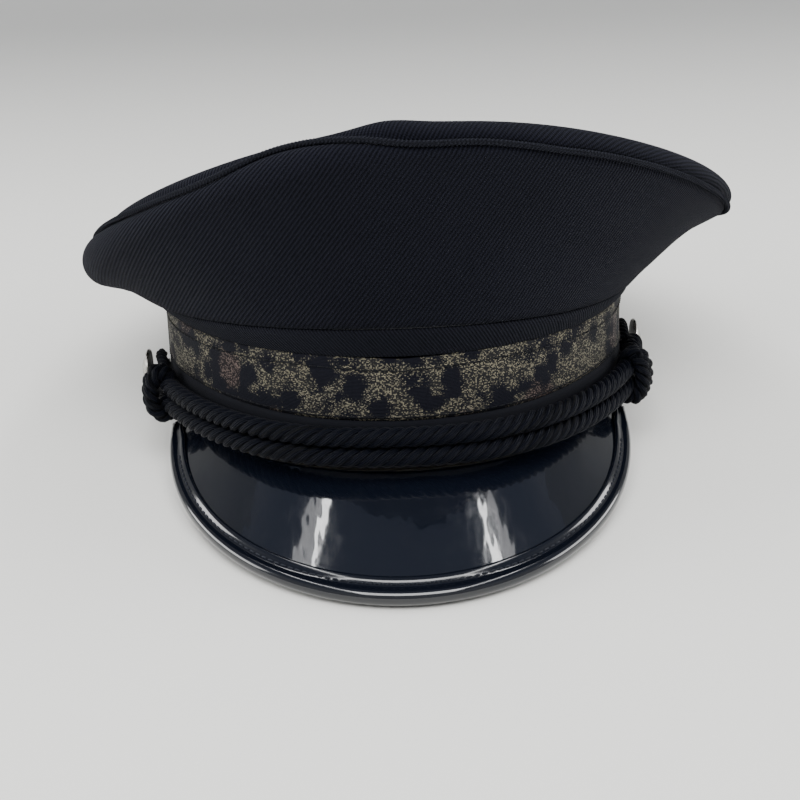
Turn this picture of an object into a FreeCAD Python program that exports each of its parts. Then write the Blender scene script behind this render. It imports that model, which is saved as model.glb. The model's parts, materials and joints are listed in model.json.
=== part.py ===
"""Military peaked cap with a patterned band, twin chin cords and a patent leather visor.

Millimetres. Every piece is first built in the band frame: the bottom edge of the band lies in
the plane z = 0, the head oval is centred on the Z axis, the front of the cap faces -Y and +X is
on the right of somebody looking at the front. One rest placement then tips the cap back onto
the rear of its band and the tip of its visor, which is how it stands on a table, and puts the
origin at the bottom centre of its bounding box.
"""
import FreeCAD, Part
import math
import os

import Sketcher
from FreeCAD import Placement, Rotation, Vector

DIMENSIONS = [
    # head oval and band
    ("band_half_width", 90.4), ("band_half_length", 104.6), ("band_height", 40.2),
    ("band_cloth", 1.6), ("layer_gap", 0.2), ("welt_height", 17.3), ("welt_proud", 0.2),
    ("stiffener_wall", 1.4), ("stiffener_height", 38.5),
    ("sweatband_wall", 1.2), ("sweatband_height", 36.0), ("sweatband_inset", 5.6),
    ("tab_width", 42.0), ("tab_height", 24.0), ("tab_wall", 0.6),
    # crown rim: an oval wire that rises to the front, droops at the sides and leans to the left
    ("rim_half_width", 119.6), ("rim_half_length", 120.9), ("rim_shift_x", 7.7), ("rim_shift_y", 1.5),
    ("rim_height", 84.5), ("rim_front_rise", 28.7), ("rim_side_droop", 25.5), ("rim_lean", 7.4),
    ("roll_radius", 7.3), ("roll_taper", 2.4), ("crown_cloth", 1.2),
    ("strip_front_height", 10.5), ("strip_side_height", 4.5), ("side_seam_angle", 80.0),
    ("piping_radius", 1.1), ("wire_radius", 1.3), ("ferrule_length", 16.0),
    ("pad_angle", 38.0), ("stay_angle", 9.0), ("lining_cloth", 0.6), ("lining_drop", 3.6),
    # visor
    ("visor_half_width", 87.7), ("visor_end_y", 40.4), ("visor_front_y", 145.0), ("visor_drop", 32.2),
    ("visor_end_power", 0.63), ("visor_end_drop", 3.4), ("visor_skin", 0.8), ("visor_board", 1.6),
    ("visor_flange_height", 9.0),
    ("binding_wall", 1.4), ("binding_width", 9.5),
    # chin cords
    ("cord_radius", 3.5), ("cord_spacing", 7.3), ("cord_half_width", 97.0), ("cord_half_length", 109.4),
    ("cord_end_radius", 84.2), ("cord_tilt", 1.1), ("knot_angle", 22.0), ("knot_length", 11.0),
    ("knot_half_height", 9.4), ("knot_inner", 0.9), ("knot_outer", 5.2), ("slot_clearance", 0.35),
    ("visor_setback", 2.4), ("loop_radius", 2.2), ("loop_length", 14.0), ("loop_clearance", 1.0),
    # side buttons
    ("button_height", 12.0), ("left_button_y", -14.0), ("right_button_y", 5.0),
    ("post_stand", 4.0), ("button_stand", 8.0),
    ("button_radius", 7.6), ("button_dome", 2.6), ("button_back_wall", 0.8), ("shank_radius", 1.5),
    ("shank_clearance", 0.3), ("eyelet_wall", 0.5), ("eyelet_flange", 3.6), ("clip_radius", 4.2),
    ("eyelet_height", 3.85), ("eyelet_lip", 0.3), ("shank_inside", 6.0), ("clip_offset", 1.3),
    # how the cap stands
    ("rest_pitch", 7.99), ("rest_shift_x", 5.4), ("rest_shift_y", -5.75), ("rest_lift", 14.57),
]

RING_STEPS = 36
ARC_STEPS = 24
VISOR_STEPS = 16
CENTRE_REACH = 0.12         # share of the rim at which the top panel's flat middle starts
PIPING_SHARE = 0.8          # share of the piping's radius that the cloth tube itself has
HAIR = 0.1                  # the least gap between layers of one assembly


# ---------------------------------------------------------------- document and sheet

def make_sheet(doc):
    sheet = doc.addObject("Spreadsheet::Sheet", "Dimensions")
    for row, (alias, value) in enumerate(DIMENSIONS, start=1):
        sheet.set("A%d" % row, alias)
        sheet.set("B%d" % row, str(value))
        sheet.setAlias("B%d" % row, alias)
    doc.recompute()
    return sheet


class Sizes:
    """The sheet's values by name, read in code by the shapes that are set directly."""

    def __init__(self, sheet):
        for alias, _ in DIMENSIONS:
            setattr(self, alias, float(sheet.get(alias)))


def bind(obj, prop, expression):
    """Bind a property to an expression in which a bare alias stands for the sheet's cell."""
    words = sorted((alias for alias, _ in DIMENSIONS), key=len, reverse=True)
    for alias in words:
        expression = expression.replace("$" + alias, "Dimensions." + alias)
    obj.setExpression(prop, expression)


# ---------------------------------------------------------------- shapes in the band frame

def radial(angle):
    """Horizontal unit vector: 0 degrees is the front, 90 degrees is +X, the right seen from there."""
    turn = math.radians(angle)
    return Vector(math.sin(turn), -math.cos(turn), 0)


def oval(size, angle, offset, height):
    """A point on the head oval, moved outwards by offset."""
    turn = math.radians(angle)
    return Vector(
        (size.band_half_width + offset) * math.sin(turn),
        -(size.band_half_length + offset) * math.cos(turn),
        height,
    )


def rim_centre(size, angle, reach=1.0):
    """The rim wire's centre line at reach 1; smaller reaches give the saddle it spans."""
    turn = math.radians(angle)
    saddle = max(reach * reach - CENTRE_REACH * CENTRE_REACH, 0.0) / (1 - CENTRE_REACH * CENTRE_REACH)
    height = (
        size.rim_height - size.rim_side_droop / 2
        + reach * (size.rim_front_rise * math.cos(turn) + size.rim_lean * math.sin(turn))
        + saddle * size.rim_side_droop / 2 * math.cos(2 * turn)
    )
    return Vector(
        size.rim_shift_x + reach * size.rim_half_width * math.sin(turn),
        size.rim_shift_y - reach * size.rim_half_length * math.cos(turn),
        height,
    )



def roll_radius(size, angle):
    return size.roll_radius - size.roll_taper * math.sin(math.radians(angle))


def roll_point(size, angle, turn, inset):
    """A point on the rolled rim: turn 0 faces outwards and 90 faces up."""
    radius = roll_radius(size, angle) - inset
    around = math.radians(turn)
    return rim_centre(size, angle) + radius * (
        math.cos(around) * radial(angle) + math.sin(around) * Vector(0, 0, 1)
    )


def top_turn(size, angle):
    """Where the top panel leaves the roll: 90 degrees plus the slope of the saddle there."""
    turn = math.radians(angle)
    rise = (
        size.rim_front_rise * math.cos(turn) + size.rim_lean * math.sin(turn)
        + size.rim_side_droop * math.cos(2 * turn)
    )
    return 90 + math.degrees(math.atan2(rise, size.rim_half_length))


def side_turn(size, angle):
    """Where the side panel meets the roll as a tangent from the band's top edge."""
    foot = oval(size, angle, 0, size.band_height)
    centre = rim_centre(size, angle)
    run = (centre - foot).dot(radial(angle))
    rise = centre.z - foot.z
    distance = math.hypot(run, rise)
    tangent = math.asin(min(roll_radius(size, angle) / distance, 0.98))
    return math.degrees(math.atan2(rise, run) - tangent) - 90


def seam_turn(size, angle):
    """The piped seam runs along the front of the roll, over it on the left, under it on the right."""
    turn = math.radians(angle)
    wanted = 10 - 42 * math.sin(turn) - 8 * math.sin(2 * turn)
    return max(wanted, side_turn(size, angle) + 16)


def side_point(size, angle, part, inset):
    """A point on the side panel, from the band's top edge at part 0 to the roll at part 1."""
    facing = math.radians(side_turn(size, angle))
    outwards = math.cos(facing) * radial(angle) + math.sin(facing) * Vector(0, 0, 1)
    foot = oval(size, angle, 0, size.band_height + size.layer_gap) - inset * outwards
    head = roll_point(size, angle, side_turn(size, angle), inset)
    return foot + part * (head - foot)


def strip_part(size, angle):
    """The share of the side panel's slant that the lower strip takes up."""
    around = math.radians(angle)
    height = size.strip_side_height + (
        (size.strip_front_height - size.strip_side_height) * math.cos(around) ** 2
    )
    slant = (side_point(size, angle, 1, 0) - side_point(size, angle, 0, 0)).Length
    return min(height / slant, 0.45)


def top_point(size, angle, reach, inset):
    """A point on the top panel's saddle, measured inwards from its outer face."""
    centre = rim_centre(size, angle, reach)
    tip = math.radians(top_turn(size, angle))
    lift = size.roll_radius - size.roll_taper * math.sin(math.radians(angle)) * reach - inset
    share = max(reach - CENTRE_REACH, 0) / (1 - CENTRE_REACH)
    lean = share * math.cos(tip)
    return centre + lift * (lean * radial(angle) + math.sqrt(1 - lean * lean) * Vector(0, 0, 1))


# ---------------------------------------------------------------- sheets made from ruled faces

def curve_through(points, closed):
    spline = Part.BSplineCurve()
    if closed:
        spline.interpolate(Points=points, PeriodicFlag=True)
    else:
        spline.interpolate(Points=points)
    return spline.toShape()


def solid_of(faces):
    shell = Part.Shell(faces)
    shell.sewShape()
    solid = Part.Solid(shell)
    if solid.Volume < 0:
        solid.reverse()
    return solid


def strips(rows):
    return [Part.makeRuledSurface(rows[i], rows[i + 1]) for i in range(len(rows) - 1)]


def wrapped_solid(outer, inner, spans, closed=False):
    """A sheet between two chains of points; each chain entry is a function of the angle.

    The angles come in one span or more, which meet end to end, or in one closed span.
    """
    faces = []
    for angles in spans:
        outer_rows = [curve_through([place(angle) for angle in angles], closed) for place in outer]
        inner_rows = [curve_through([place(angle) for angle in angles], closed) for place in inner]
        faces += strips(outer_rows) + strips(inner_rows)
        faces.append(Part.makeRuledSurface(outer_rows[0], inner_rows[0]))
        faces.append(Part.makeRuledSurface(outer_rows[-1], inner_rows[-1]))
    if not closed:
        for angle in (spans[0][0], spans[-1][-1]):
            for step in range(len(outer) - 1):
                near = Part.makeLine(outer[step](angle), inner[step](angle))
                far = Part.makeLine(outer[step + 1](angle), inner[step + 1](angle))
                faces.append(Part.makeRuledSurface(near, far))
    return solid_of(faces)


def disc_solid(outer, inner):
    """A closed sheet whose last chain entries are flat loops, filled by flat faces."""
    angles = ring_angles()
    outer_rows = [curve_through([place(angle) for angle in angles], True) for place in outer]
    inner_rows = [curve_through([place(angle) for angle in angles], True) for place in inner]
    faces = strips(outer_rows) + strips(inner_rows)
    faces.append(Part.makeRuledSurface(outer_rows[0], inner_rows[0]))
    faces.append(Part.Face(Part.Wire(outer_rows[-1])))
    faces.append(Part.Face(Part.Wire(inner_rows[-1])))
    return solid_of(faces)


def ring_tube(size, centre, radius, sides=8):
    """A closed tube of flat-sided section around the rim."""
    angles = ring_angles()
    rows = []
    for side in range(sides):
        around = 2 * math.pi * side / sides

        def place(angle, around=around):
            outwards = math.cos(around) * radial(angle) + math.sin(around) * Vector(0, 0, 1)
            return centre(angle) + radius * outwards

        rows.append(curve_through([place(angle) for angle in angles], True))
    faces = strips(rows)
    faces.append(Part.makeRuledSurface(rows[-1], rows[0]))
    return solid_of(faces)


def ring_angles():
    return [360.0 * step / RING_STEPS for step in range(RING_STEPS)]


def span_angles(first, last):
    return [first + (last - first) * step / ARC_STEPS for step in range(ARC_STEPS + 1)]


def feature(doc, label, shape):
    obj = doc.addObject("Part::Feature", label)
    obj.Label = label
    obj.Shape = shape
    return obj


# ---------------------------------------------------------------- crown

def seam_gap(size, angle):
    """Degrees of roll that each panel's edge stays back from the middle of the piping."""
    return math.degrees(math.asin(1.15 * size.piping_radius / roll_radius(size, angle)))


def side_chain(size, inset, first):
    """Chain from part `first` of the side panel to the roll just short of the seam."""
    places = [lambda angle, share=share: side_point(
        size, angle, first(angle) + (1 - first(angle)) * share, inset) for share in (0, 0.5, 1)]
    for share in (0.33, 0.67, 1):
        def place(angle, share=share):
            low = side_turn(size, angle)
            high = seam_turn(size, angle) - seam_gap(size, angle)
            return roll_point(size, angle, low + (high - low) * share, inset)
        places.append(place)
    return places


def crown_side_panel(doc, size, label, spans):
    def foot(angle):
        return strip_part(size, angle) + 0.012

    outer = side_chain(size, 0, foot)
    inner = side_chain(size, size.crown_cloth, foot)
    shape = wrapped_solid(outer, inner, spans)
    return feature(doc, label, shape)


def crown_lower_strip(doc, size):
    outer = [lambda angle: side_point(size, angle, 0, 0),
             lambda angle: side_point(size, angle, strip_part(size, angle), 0)]
    inner = [lambda angle: side_point(size, angle, 0, size.crown_cloth),
             lambda angle: side_point(size, angle, strip_part(size, angle), size.crown_cloth)]
    shape = wrapped_solid(outer, inner, [ring_angles()], True)
    return feature(doc, "crown_lower_strip", shape)


def top_chain(size, inset, reaches):
    places = []
    for share in (0, 0.3, 0.65, 1):
        def place(angle, share=share):
            low = seam_turn(size, angle) + seam_gap(size, angle)
            high = top_turn(size, angle)
            return roll_point(size, angle, low + (high - low) * share, inset)
        places.append(place)
    for reach in reaches:
        places.append(lambda angle, reach=reach: top_point(size, angle, reach, inset))
    return places


def crown_top_panel(doc, size):
    reaches = (0.85, 0.68, 0.5, 0.3, CENTRE_REACH)
    outer = top_chain(size, 0, reaches)
    inner = top_chain(size, size.crown_cloth, reaches)
    return feature(doc, "crown_top_panel", disc_solid(outer, inner))


def crown_piping(doc, size):
    def centre(angle):
        return roll_point(size, angle, seam_turn(size, angle), size.piping_radius * 0.1)

    return feature(doc, "crown_piping", ring_tube(size, centre, size.piping_radius * PIPING_SHARE))


def crown_ring_wire(doc, size):
    def centre(angle):
        return rim_centre(size, angle)

    return feature(doc, "crown_ring_wire", ring_tube(size, centre, size.wire_radius))


def crown_rim_roll(doc, size):
    """Foam wrapped three quarters of the way round the wire, open towards the inside."""
    turns = (-100, -45, 10, 65, 120)

    def chain(inset):
        return [lambda angle, turn=turn: roll_point(size, angle, turn, inset(angle)) for turn in turns]

    outer = chain(lambda angle: size.crown_cloth + 0.8)
    inner = chain(lambda angle: roll_radius(size, angle) - max(2.1, 0.5 * roll_radius(size, angle)))
    return feature(doc, "crown_rim_roll", wrapped_solid(outer, inner, [ring_angles()], True))


def crown_front_sheet(doc, size, label, half_angle, outer_inset, inner_inset, parts):
    """A stiffener standing behind the front panel."""
    outer = [lambda angle, part=part: side_point(size, angle, part, outer_inset) for part in parts]
    inner = [lambda angle, part=part: side_point(size, angle, part, inner_inset) for part in parts]
    shape = wrapped_solid(outer, inner, [span_angles(-half_angle, half_angle)])
    return feature(doc, label, shape)


def lining_head(size, angle, inset):
    """Where the side lining meets the top lining, inside the rim roll."""
    centre = rim_centre(size, angle)
    return centre - (roll_radius(size, angle) + 2.5 + inset) * radial(angle)


def lining_side(doc, size):
    def chain(inset):
        return [
            lambda angle: oval(size, angle, -6.4 - inset, size.band_height - 3),
            lambda angle: oval(size, angle, -6.4 - inset, size.band_height + 2),
            lambda angle: lining_head(size, angle, inset),
        ]

    shape = wrapped_solid(chain(0), chain(size.lining_cloth), [ring_angles()], True)
    return feature(doc, "lining_side", shape)


def saddle_disc(doc, size, label, reach, top_inset, wall):
    """A thin disc hung parallel to the top panel."""
    reaches = [CENTRE_REACH + (reach - CENTRE_REACH) * share for share in (1, 0.75, 0.5, 0.25, 0)]
    outer = [lambda angle, r=r: top_point(size, angle, r, top_inset) for r in reaches]
    inner = [lambda angle, r=r: top_point(size, angle, r, top_inset + wall) for r in reaches]
    return feature(doc, label, disc_solid(outer, inner))


def crown_ring_ferrule(doc):
    """The tube that joins the two ends of the rim wire at the back."""
    outer = doc.addObject("Part::Cylinder", "ferrule_outer")
    bore = doc.addObject("Part::Cylinder", "ferrule_bore")
    for cylinder, radius in ((outer, "$wire_radius + 1.3"), (bore, "$wire_radius + 0.6")):
        bind(cylinder, "Radius", radius)
        bind(cylinder, "Height", "$ferrule_length")
    ferrule = doc.addObject("Part::Cut", "crown_ring_ferrule")
    ferrule.Base = outer
    ferrule.Tool = bore
    ferrule.Label = "crown_ring_ferrule"
    return ferrule


# ---------------------------------------------------------------- visor

def visor_edge(size, turn):
    """The middle of the visor's rounded edge; turn -90 and 90 are its two ends."""
    around = math.radians(turn)
    fall = max(math.cos(around), 0) ** size.visor_end_power
    return Vector(
        size.visor_half_width * math.sin(around),
        -(size.visor_end_y + (size.visor_front_y - size.visor_end_y) * math.cos(around)),
        -size.visor_end_drop - (size.visor_drop - size.visor_end_drop) * fall,
    )


def visor_half(size):
    """Half of the thickness of the visor's three layers, with the gaps between them."""
    return size.visor_board / 2 + size.visor_skin + HAIR


def visor_root(size, turn, offset):
    end_angle = math.degrees(math.acos(size.visor_end_y / size.band_half_length))
    return oval(size, turn * end_angle / 90, offset, -visor_half(size) - 0.3)



def visor_frame(size, turn):
    """Root point, unit vector down the visor and unit vector out of its upper face."""
    root = visor_root(size, turn, -3.3)
    edge = visor_edge(size, turn)
    down = (edge - root).normalize()
    inwards = 1.0 if turn < 0 else -1.0
    along = (visor_edge(size, turn + inwards) - edge) * inwards
    face = down.cross(along).normalize()
    return root, edge, down, face


def visor_point(size, turn, back, height):
    """A point `back` millimetres in from the edge and `height` above the mid surface."""
    root, edge, down, face = visor_frame(size, turn)
    return edge - back * down + height * face


def visor_turns():
    """Turns from -90 to 90, closer together towards the ends, where the edge falls fastest."""
    return [90 * math.sin(math.radians(90.0 * step / VISOR_STEPS)) for step in range(-VISOR_STEPS, VISOR_STEPS + 1)]


def visor_sheet(doc, size, label, top, bottom, back, root_back):
    """One layer of the visor, from its root line out to `back` short of the edge."""
    def at_root(turn, height):
        root, edge, down, face = visor_frame(size, turn)
        return root + root_back * down + height * face

    def middle(turn, height):
        near = at_root(turn, height)
        far = visor_point(size, turn, back, height)
        return near + 0.5 * (far - near)

    outer = [lambda turn: at_root(turn, top), lambda turn: middle(turn, top),
             lambda turn: visor_point(size, turn, back, top)]
    inner = [lambda turn: at_root(turn, bottom), lambda turn: middle(turn, bottom),
             lambda turn: visor_point(size, turn, back, bottom)]
    return feature(doc, label, wrapped_solid(outer, inner, [visor_turns()]))


def visor_binding(doc, size):
    """The rolled edge: a channel that grips all the layers."""
    wall = size.binding_wall
    inside = visor_half(size) + HAIR
    outside = inside + wall
    
    def lip(turn):
        root, edge, down, face = visor_frame(size, turn)
        return min(size.binding_width, 0.62 * (edge - root).Length)

    outer = [lambda turn: visor_point(size, turn, lip(turn), outside),
             lambda turn: visor_point(size, turn, 1.0, outside),
             lambda turn: visor_point(size, turn, 0, 1.2),
             lambda turn: visor_point(size, turn, 0, -1.2),
             lambda turn: visor_point(size, turn, 1.0, -outside),
             lambda turn: visor_point(size, turn, lip(turn), -outside)]
    inner = [lambda turn: visor_point(size, turn, lip(turn), inside),
             lambda turn: visor_point(size, turn, 2.2, inside),
             lambda turn: visor_point(size, turn, 2.0, 0.8),
             lambda turn: visor_point(size, turn, 2.0, -0.8),
             lambda turn: visor_point(size, turn, 2.2, -inside),
             lambda turn: visor_point(size, turn, lip(turn), -inside)]
    return feature(doc, "visor_edge_binding", wrapped_solid(outer, inner, [visor_turns()]))


def visor_flange(doc, size):
    """The turned-up strip that is sewn between the stiffener and the sweatband."""
    outset = -(size.band_cloth + size.stiffener_wall + 2 * size.layer_gap)
    outer = [lambda angle: oval(size, angle, outset, -1.0),
             lambda angle: oval(size, angle, outset, size.visor_flange_height)]
    inner = [lambda angle: oval(size, angle, outset - 1.2, -1.0),
             lambda angle: oval(size, angle, outset - 1.2, size.visor_flange_height)]
    return feature(doc, "visor_flange", wrapped_solid(outer, inner, [span_angles(-64, 64)]))


# ---------------------------------------------------------------- band layers

def elliptic_tube(doc, label, inset, wall, base, height):
    """A tube whose section is the head oval moved inwards, bound to the sheet."""
    solids = []
    for part, offset in (("outer", inset), ("inner", "%s + %s" % (inset, wall))):
        ellipse = doc.addObject("Part::Ellipse", label + "_" + part + "_line")
        bind(ellipse, "MajorRadius", "$band_half_length - (%s)" % offset)
        bind(ellipse, "MinorRadius", "$band_half_width - (%s)" % offset)
        ellipse.Placement.Rotation = Rotation(Vector(0, 0, 1), 90)
        bind(ellipse, "Placement.Base.z", base)
        solid = doc.addObject("Part::Extrusion", label + "_" + part)
        solid.Base = ellipse
        solid.DirMode = "Custom"
        solid.Dir = Vector(0, 0, 1)
        bind(solid, "LengthFwd", height)
        solid.Solid = True
        solids.append(solid)
    tube = doc.addObject("Part::Cut", label)
    tube.Base = solids[0]
    tube.Tool = solids[1]
    tube.Label = label
    return tube


def with_side_holes(doc, tube, label):
    """Cut the two holes that the eyelets sit in."""
    pins = []
    for side, sign in (("left", -1), ("right", 1)):
        pin = doc.addObject("Part::Cylinder", label + "_" + side + "_hole")
        bind(pin, "Radius", "$shank_radius + $shank_clearance + $eyelet_wall + 0.1")
        bind(pin, "Height", "$band_half_width")
        bind(pin, "Placement.Base.y", "$%s_button_y" % side)
        bind(pin, "Placement.Base.z", "$button_height")
        pin.Placement.Rotation = Rotation(Vector(0, 1, 0), 90 * sign)
        bind(pin, "Placement.Base.x", "%d * $band_half_width / 2" % sign)
        pins.append(pin)
    both = doc.addObject("Part::MultiFuse", label + "_holes")
    both.Shapes = pins
    tube.Label = label + "_blank"
    cut = doc.addObject("Part::Cut", label + "_pierced")
    cut.Base = tube
    cut.Tool = both
    cut.Label = label
    return cut


def size_tab(doc):
    """A blank cloth tab stitched to the back of the sweatband."""
    tab = doc.addObject("Part::Box", "sweatband_tab")
    bind(tab, "Length", "$tab_width")
    bind(tab, "Width", "$tab_wall")
    bind(tab, "Height", "$tab_height")
    bind(tab, "Placement.Base.x", "-$tab_width / 2")
    bind(tab, "Placement.Base.y",
         "$band_half_length - $sweatband_inset - $sweatband_wall - $tab_wall - 2.6")
    tab.Placement.Base.z = 6
    tab.Label = "sweatband_tab"
    return tab


# ---------------------------------------------------------------- bodies with sketches

def new_body(doc, label):
    body = doc.addObject("PartDesign::Body", label)
    body.Label = label
    return body


def new_sketch(body, name, role="XY_Plane"):
    sketch = body.newObject("Sketcher::SketchObject", name)
    plane = [part for part in body.Origin.OriginFeatures if part.Role == role][0]
    sketch.AttachmentSupport = [(plane, "")]
    sketch.MapMode = "FlatFace"
    return sketch


def closed_profile(sketch, points):
    """Straight edges through the points, closed, with joined corners."""
    count = len(points)
    for index in range(count):
        start = Vector(points[index][0], points[index][1], 0)
        end = Vector(points[(index + 1) % count][0], points[(index + 1) % count][1], 0)
        sketch.addGeometry(Part.LineSegment(start, end), False)
    for index in range(count):
        sketch.addConstraint(Sketcher.Constraint("Coincident", index, 2, (index + 1) % count, 1))


def pin_vertex(sketch, index, point, expressions):
    """Fix the start of line `index` with distances from the origin, bound to the sheet."""
    for kind, value, expression, axis in zip(("DistanceX", "DistanceY"), point, expressions, (-2, -1)):
        if expression == "0":
            sketch.addConstraint(Sketcher.Constraint("PointOnObject", index, 1, axis))
        else:
            number = sketch.addConstraint(Sketcher.Constraint(kind, -1, 1, index, 1, value))
            bind(sketch, "Constraints[%d]" % number, expression)


def value_of(doc, expression):
    """The number that an expression over the sheet stands for."""
    probe = doc.addObject("App::FeaturePython", "probe")
    probe.addProperty("App::PropertyFloat", "Number")
    bind(probe, "Number", expression)
    doc.recompute()
    number = probe.Number
    doc.removeObject(probe.Name)
    return number


def profile_sketch(doc, body, name, role, corners):
    sketch = new_sketch(body, name, role)
    points = [(value_of(doc, across), value_of(doc, up)) for across, up in corners]
    closed_profile(sketch, points)
    for index, corner in enumerate(corners):
        pin_vertex(sketch, index, points[index], corner)
    doc.recompute()
    return sketch


def turned_body(doc, label, corners):
    """A body turned about its local Z axis; corners are pairs of expressions (radius, height)."""
    body = new_body(doc, label)
    sketch = profile_sketch(doc, body, label + "_profile", "XZ_Plane", corners)
    turned = body.newObject("PartDesign::Revolution", label + "_turned")
    turned.Profile = sketch
    turned.ReferenceAxis = (sketch, ["V_Axis"])
    turned.Angle = 360
    return body


# ---------------------------------------------------------------- side buttons

def button_shell(doc, side):
    """The pressed dome, with a skirt that closes over the back plate."""
    return turned_body(doc, side + "_button_shell", [
        ("$button_radius - 0.5", "0.1"), ("$button_radius", "0.1"),
        ("$button_radius", "$button_back_wall + 0.6"),
        ("$button_radius * 0.88", "$button_back_wall + $button_dome * 0.55"),
        ("$button_radius * 0.55", "$button_back_wall + $button_dome * 0.87"),
        ("0", "$button_back_wall + $button_dome"),
        ("0", "$button_back_wall + $button_dome - 0.5"),
        ("$button_radius * 0.52", "$button_back_wall + $button_dome * 0.87 - 0.5"),
        ("$button_radius * 0.82", "$button_back_wall + $button_dome * 0.5 - 0.35"),
        ("$button_radius - 0.5", "$button_back_wall + 0.3"),
    ])


def button_back(doc, side):
    return turned_body(doc, side + "_button_back", [
        ("$shank_radius + 0.02", "0.1"), ("$button_radius - 0.6", "0.1"),
        ("$button_radius - 0.6", "$button_back_wall"), ("$shank_radius + 0.02", "$button_back_wall"),
    ])


def button_shank(doc, side):
    """A post from just behind the dome, through the band, to the clip inside it."""
    return turned_body(doc, side + "_button_shank", [
        ("0", "0"), ("$shank_radius", "0"), ("$shank_radius", "$button_stand + $shank_inside"),
        ("0", "$button_stand + $shank_inside"),
    ])


def button_clip(doc, side):
    """The sprung washer that holds the post from inside the band."""
    return turned_body(doc, side + "_button_clip", [
        ("$shank_radius + 0.02", "0"), ("$clip_radius", "0"), ("$clip_radius", "0.6"),
        ("$shank_radius + 0.02", "0.6"),
    ])


def side_eyelet(doc, side):
    """A metal ring that lines the hole through the band and its stiffener."""
    return turned_body(doc, side + "_eyelet", [
        ("$shank_radius + $shank_clearance", "0"),
        ("$shank_radius + $shank_clearance + $eyelet_wall", "0"),
        ("$shank_radius + $shank_clearance + $eyelet_wall", "$eyelet_height"),
        ("$eyelet_flange", "$eyelet_height"), ("$eyelet_flange", "$eyelet_height + $eyelet_lip"),
        ("$shank_radius + $shank_clearance", "$eyelet_height + $eyelet_lip"),
    ])


# ---------------------------------------------------------------- chin cords

CORD_DROP = "($cord_half_length - $cord_end_radius)"
SIDE_RADIUS = (
    "(($cord_half_width ^ 2 + " + CORD_DROP + " ^ 2 - $cord_end_radius ^ 2)"
    " / (2 * ($cord_half_width - $cord_end_radius)))"
)


class CordOval:
    """The cord's line: a front arc that runs into two flatter side arcs without a corner."""

    def __init__(self, size):
        self.drop = size.cord_half_length - size.cord_end_radius
        squares = size.cord_half_width ** 2 + self.drop ** 2 - size.cord_end_radius ** 2
        self.side_radius = squares / (2 * (size.cord_half_width - size.cord_end_radius))
        self.side_centre = self.side_radius - size.cord_half_width
        self.join_angle = math.degrees(math.atan2(self.drop, self.side_centre))

    def side_angle(self, y):
        """The angle on a side arc, from the X axis, of a point at y."""
        return math.degrees(math.asin(y / self.side_radius))


def cord_arc(doc, name, radius, sweep, centre, start):
    arc = doc.addObject("Part::Torus", name)
    bind(arc, "Radius1", radius)
    bind(arc, "Radius2", "$cord_radius")
    arc.Angle3 = sweep
    arc.Placement = Placement(centre, Rotation(Vector(0, 0, 1), start))
    return arc


def chin_cord(doc, size, label, gap):
    """One rope: three tangent arcs in the plane Z = 0 of the cord frame."""
    line = CordOval(size)
    join = line.join_angle
    left_end = -line.side_angle(size.left_button_y - gap)
    right_end = -line.side_angle(size.right_button_y - gap)
    arcs = [
        cord_arc(doc, label + "_front", "$cord_end_radius", 180 - 2 * join,
                 Vector(0, -line.drop, 0), -180 + join),
        cord_arc(doc, label + "_right", SIDE_RADIUS, join - right_end,
                 Vector(-line.side_centre, 0, 0), -join),
        cord_arc(doc, label + "_left", SIDE_RADIUS, join - left_end,
                 Vector(line.side_centre, 0, 0), 180 + left_end),
    ]
    cord = doc.addObject("Part::MultiFuse", label)
    cord.Shapes = arcs
    cord.Label = label
    return cord


def cord_loop(doc, size, label, length):
    """The thinner bight round a button's post: a bend and the two runs that lead into it.

    Local X runs back from the cord's end to the post, local Y is up, and the post is on local Z.
    """
    bend = size.shank_radius + size.loop_clearance + size.loop_radius
    half = size.cord_spacing / 2
    distance = math.hypot(length, half)
    slope = math.asin(bend / distance) - math.atan2(half, length)
    run = math.sqrt(distance ** 2 - bend ** 2)
    turn = doc.addObject("Part::Torus", label + "_bend")
    bind(turn, "Radius1", "$shank_radius + $loop_clearance + $loop_radius")
    bind(turn, "Radius2", "$loop_radius")
    turn.Angle3 = 180 + 2 * math.degrees(slope)
    turn.Placement.Rotation = Rotation(Vector(0, 0, 1), -90 - math.degrees(slope))
    pieces = [turn]
    for name, sign in (("upper", 1), ("lower", -1)):
        straight = doc.addObject("Part::Cylinder", "%s_%s_run" % (label, name))
        bind(straight, "Radius", "$loop_radius")
        straight.Height = run
        direction = Vector(math.cos(slope), sign * math.sin(slope), 0)
        straight.Placement = Placement(
            Vector(-length, sign * half, 0), Rotation(Vector(0, 0, 1), direction))
        pieces.append(straight)
    loop = doc.addObject("Part::MultiFuse", label)
    loop.Shapes = pieces
    loop.Label = label
    return loop


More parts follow.
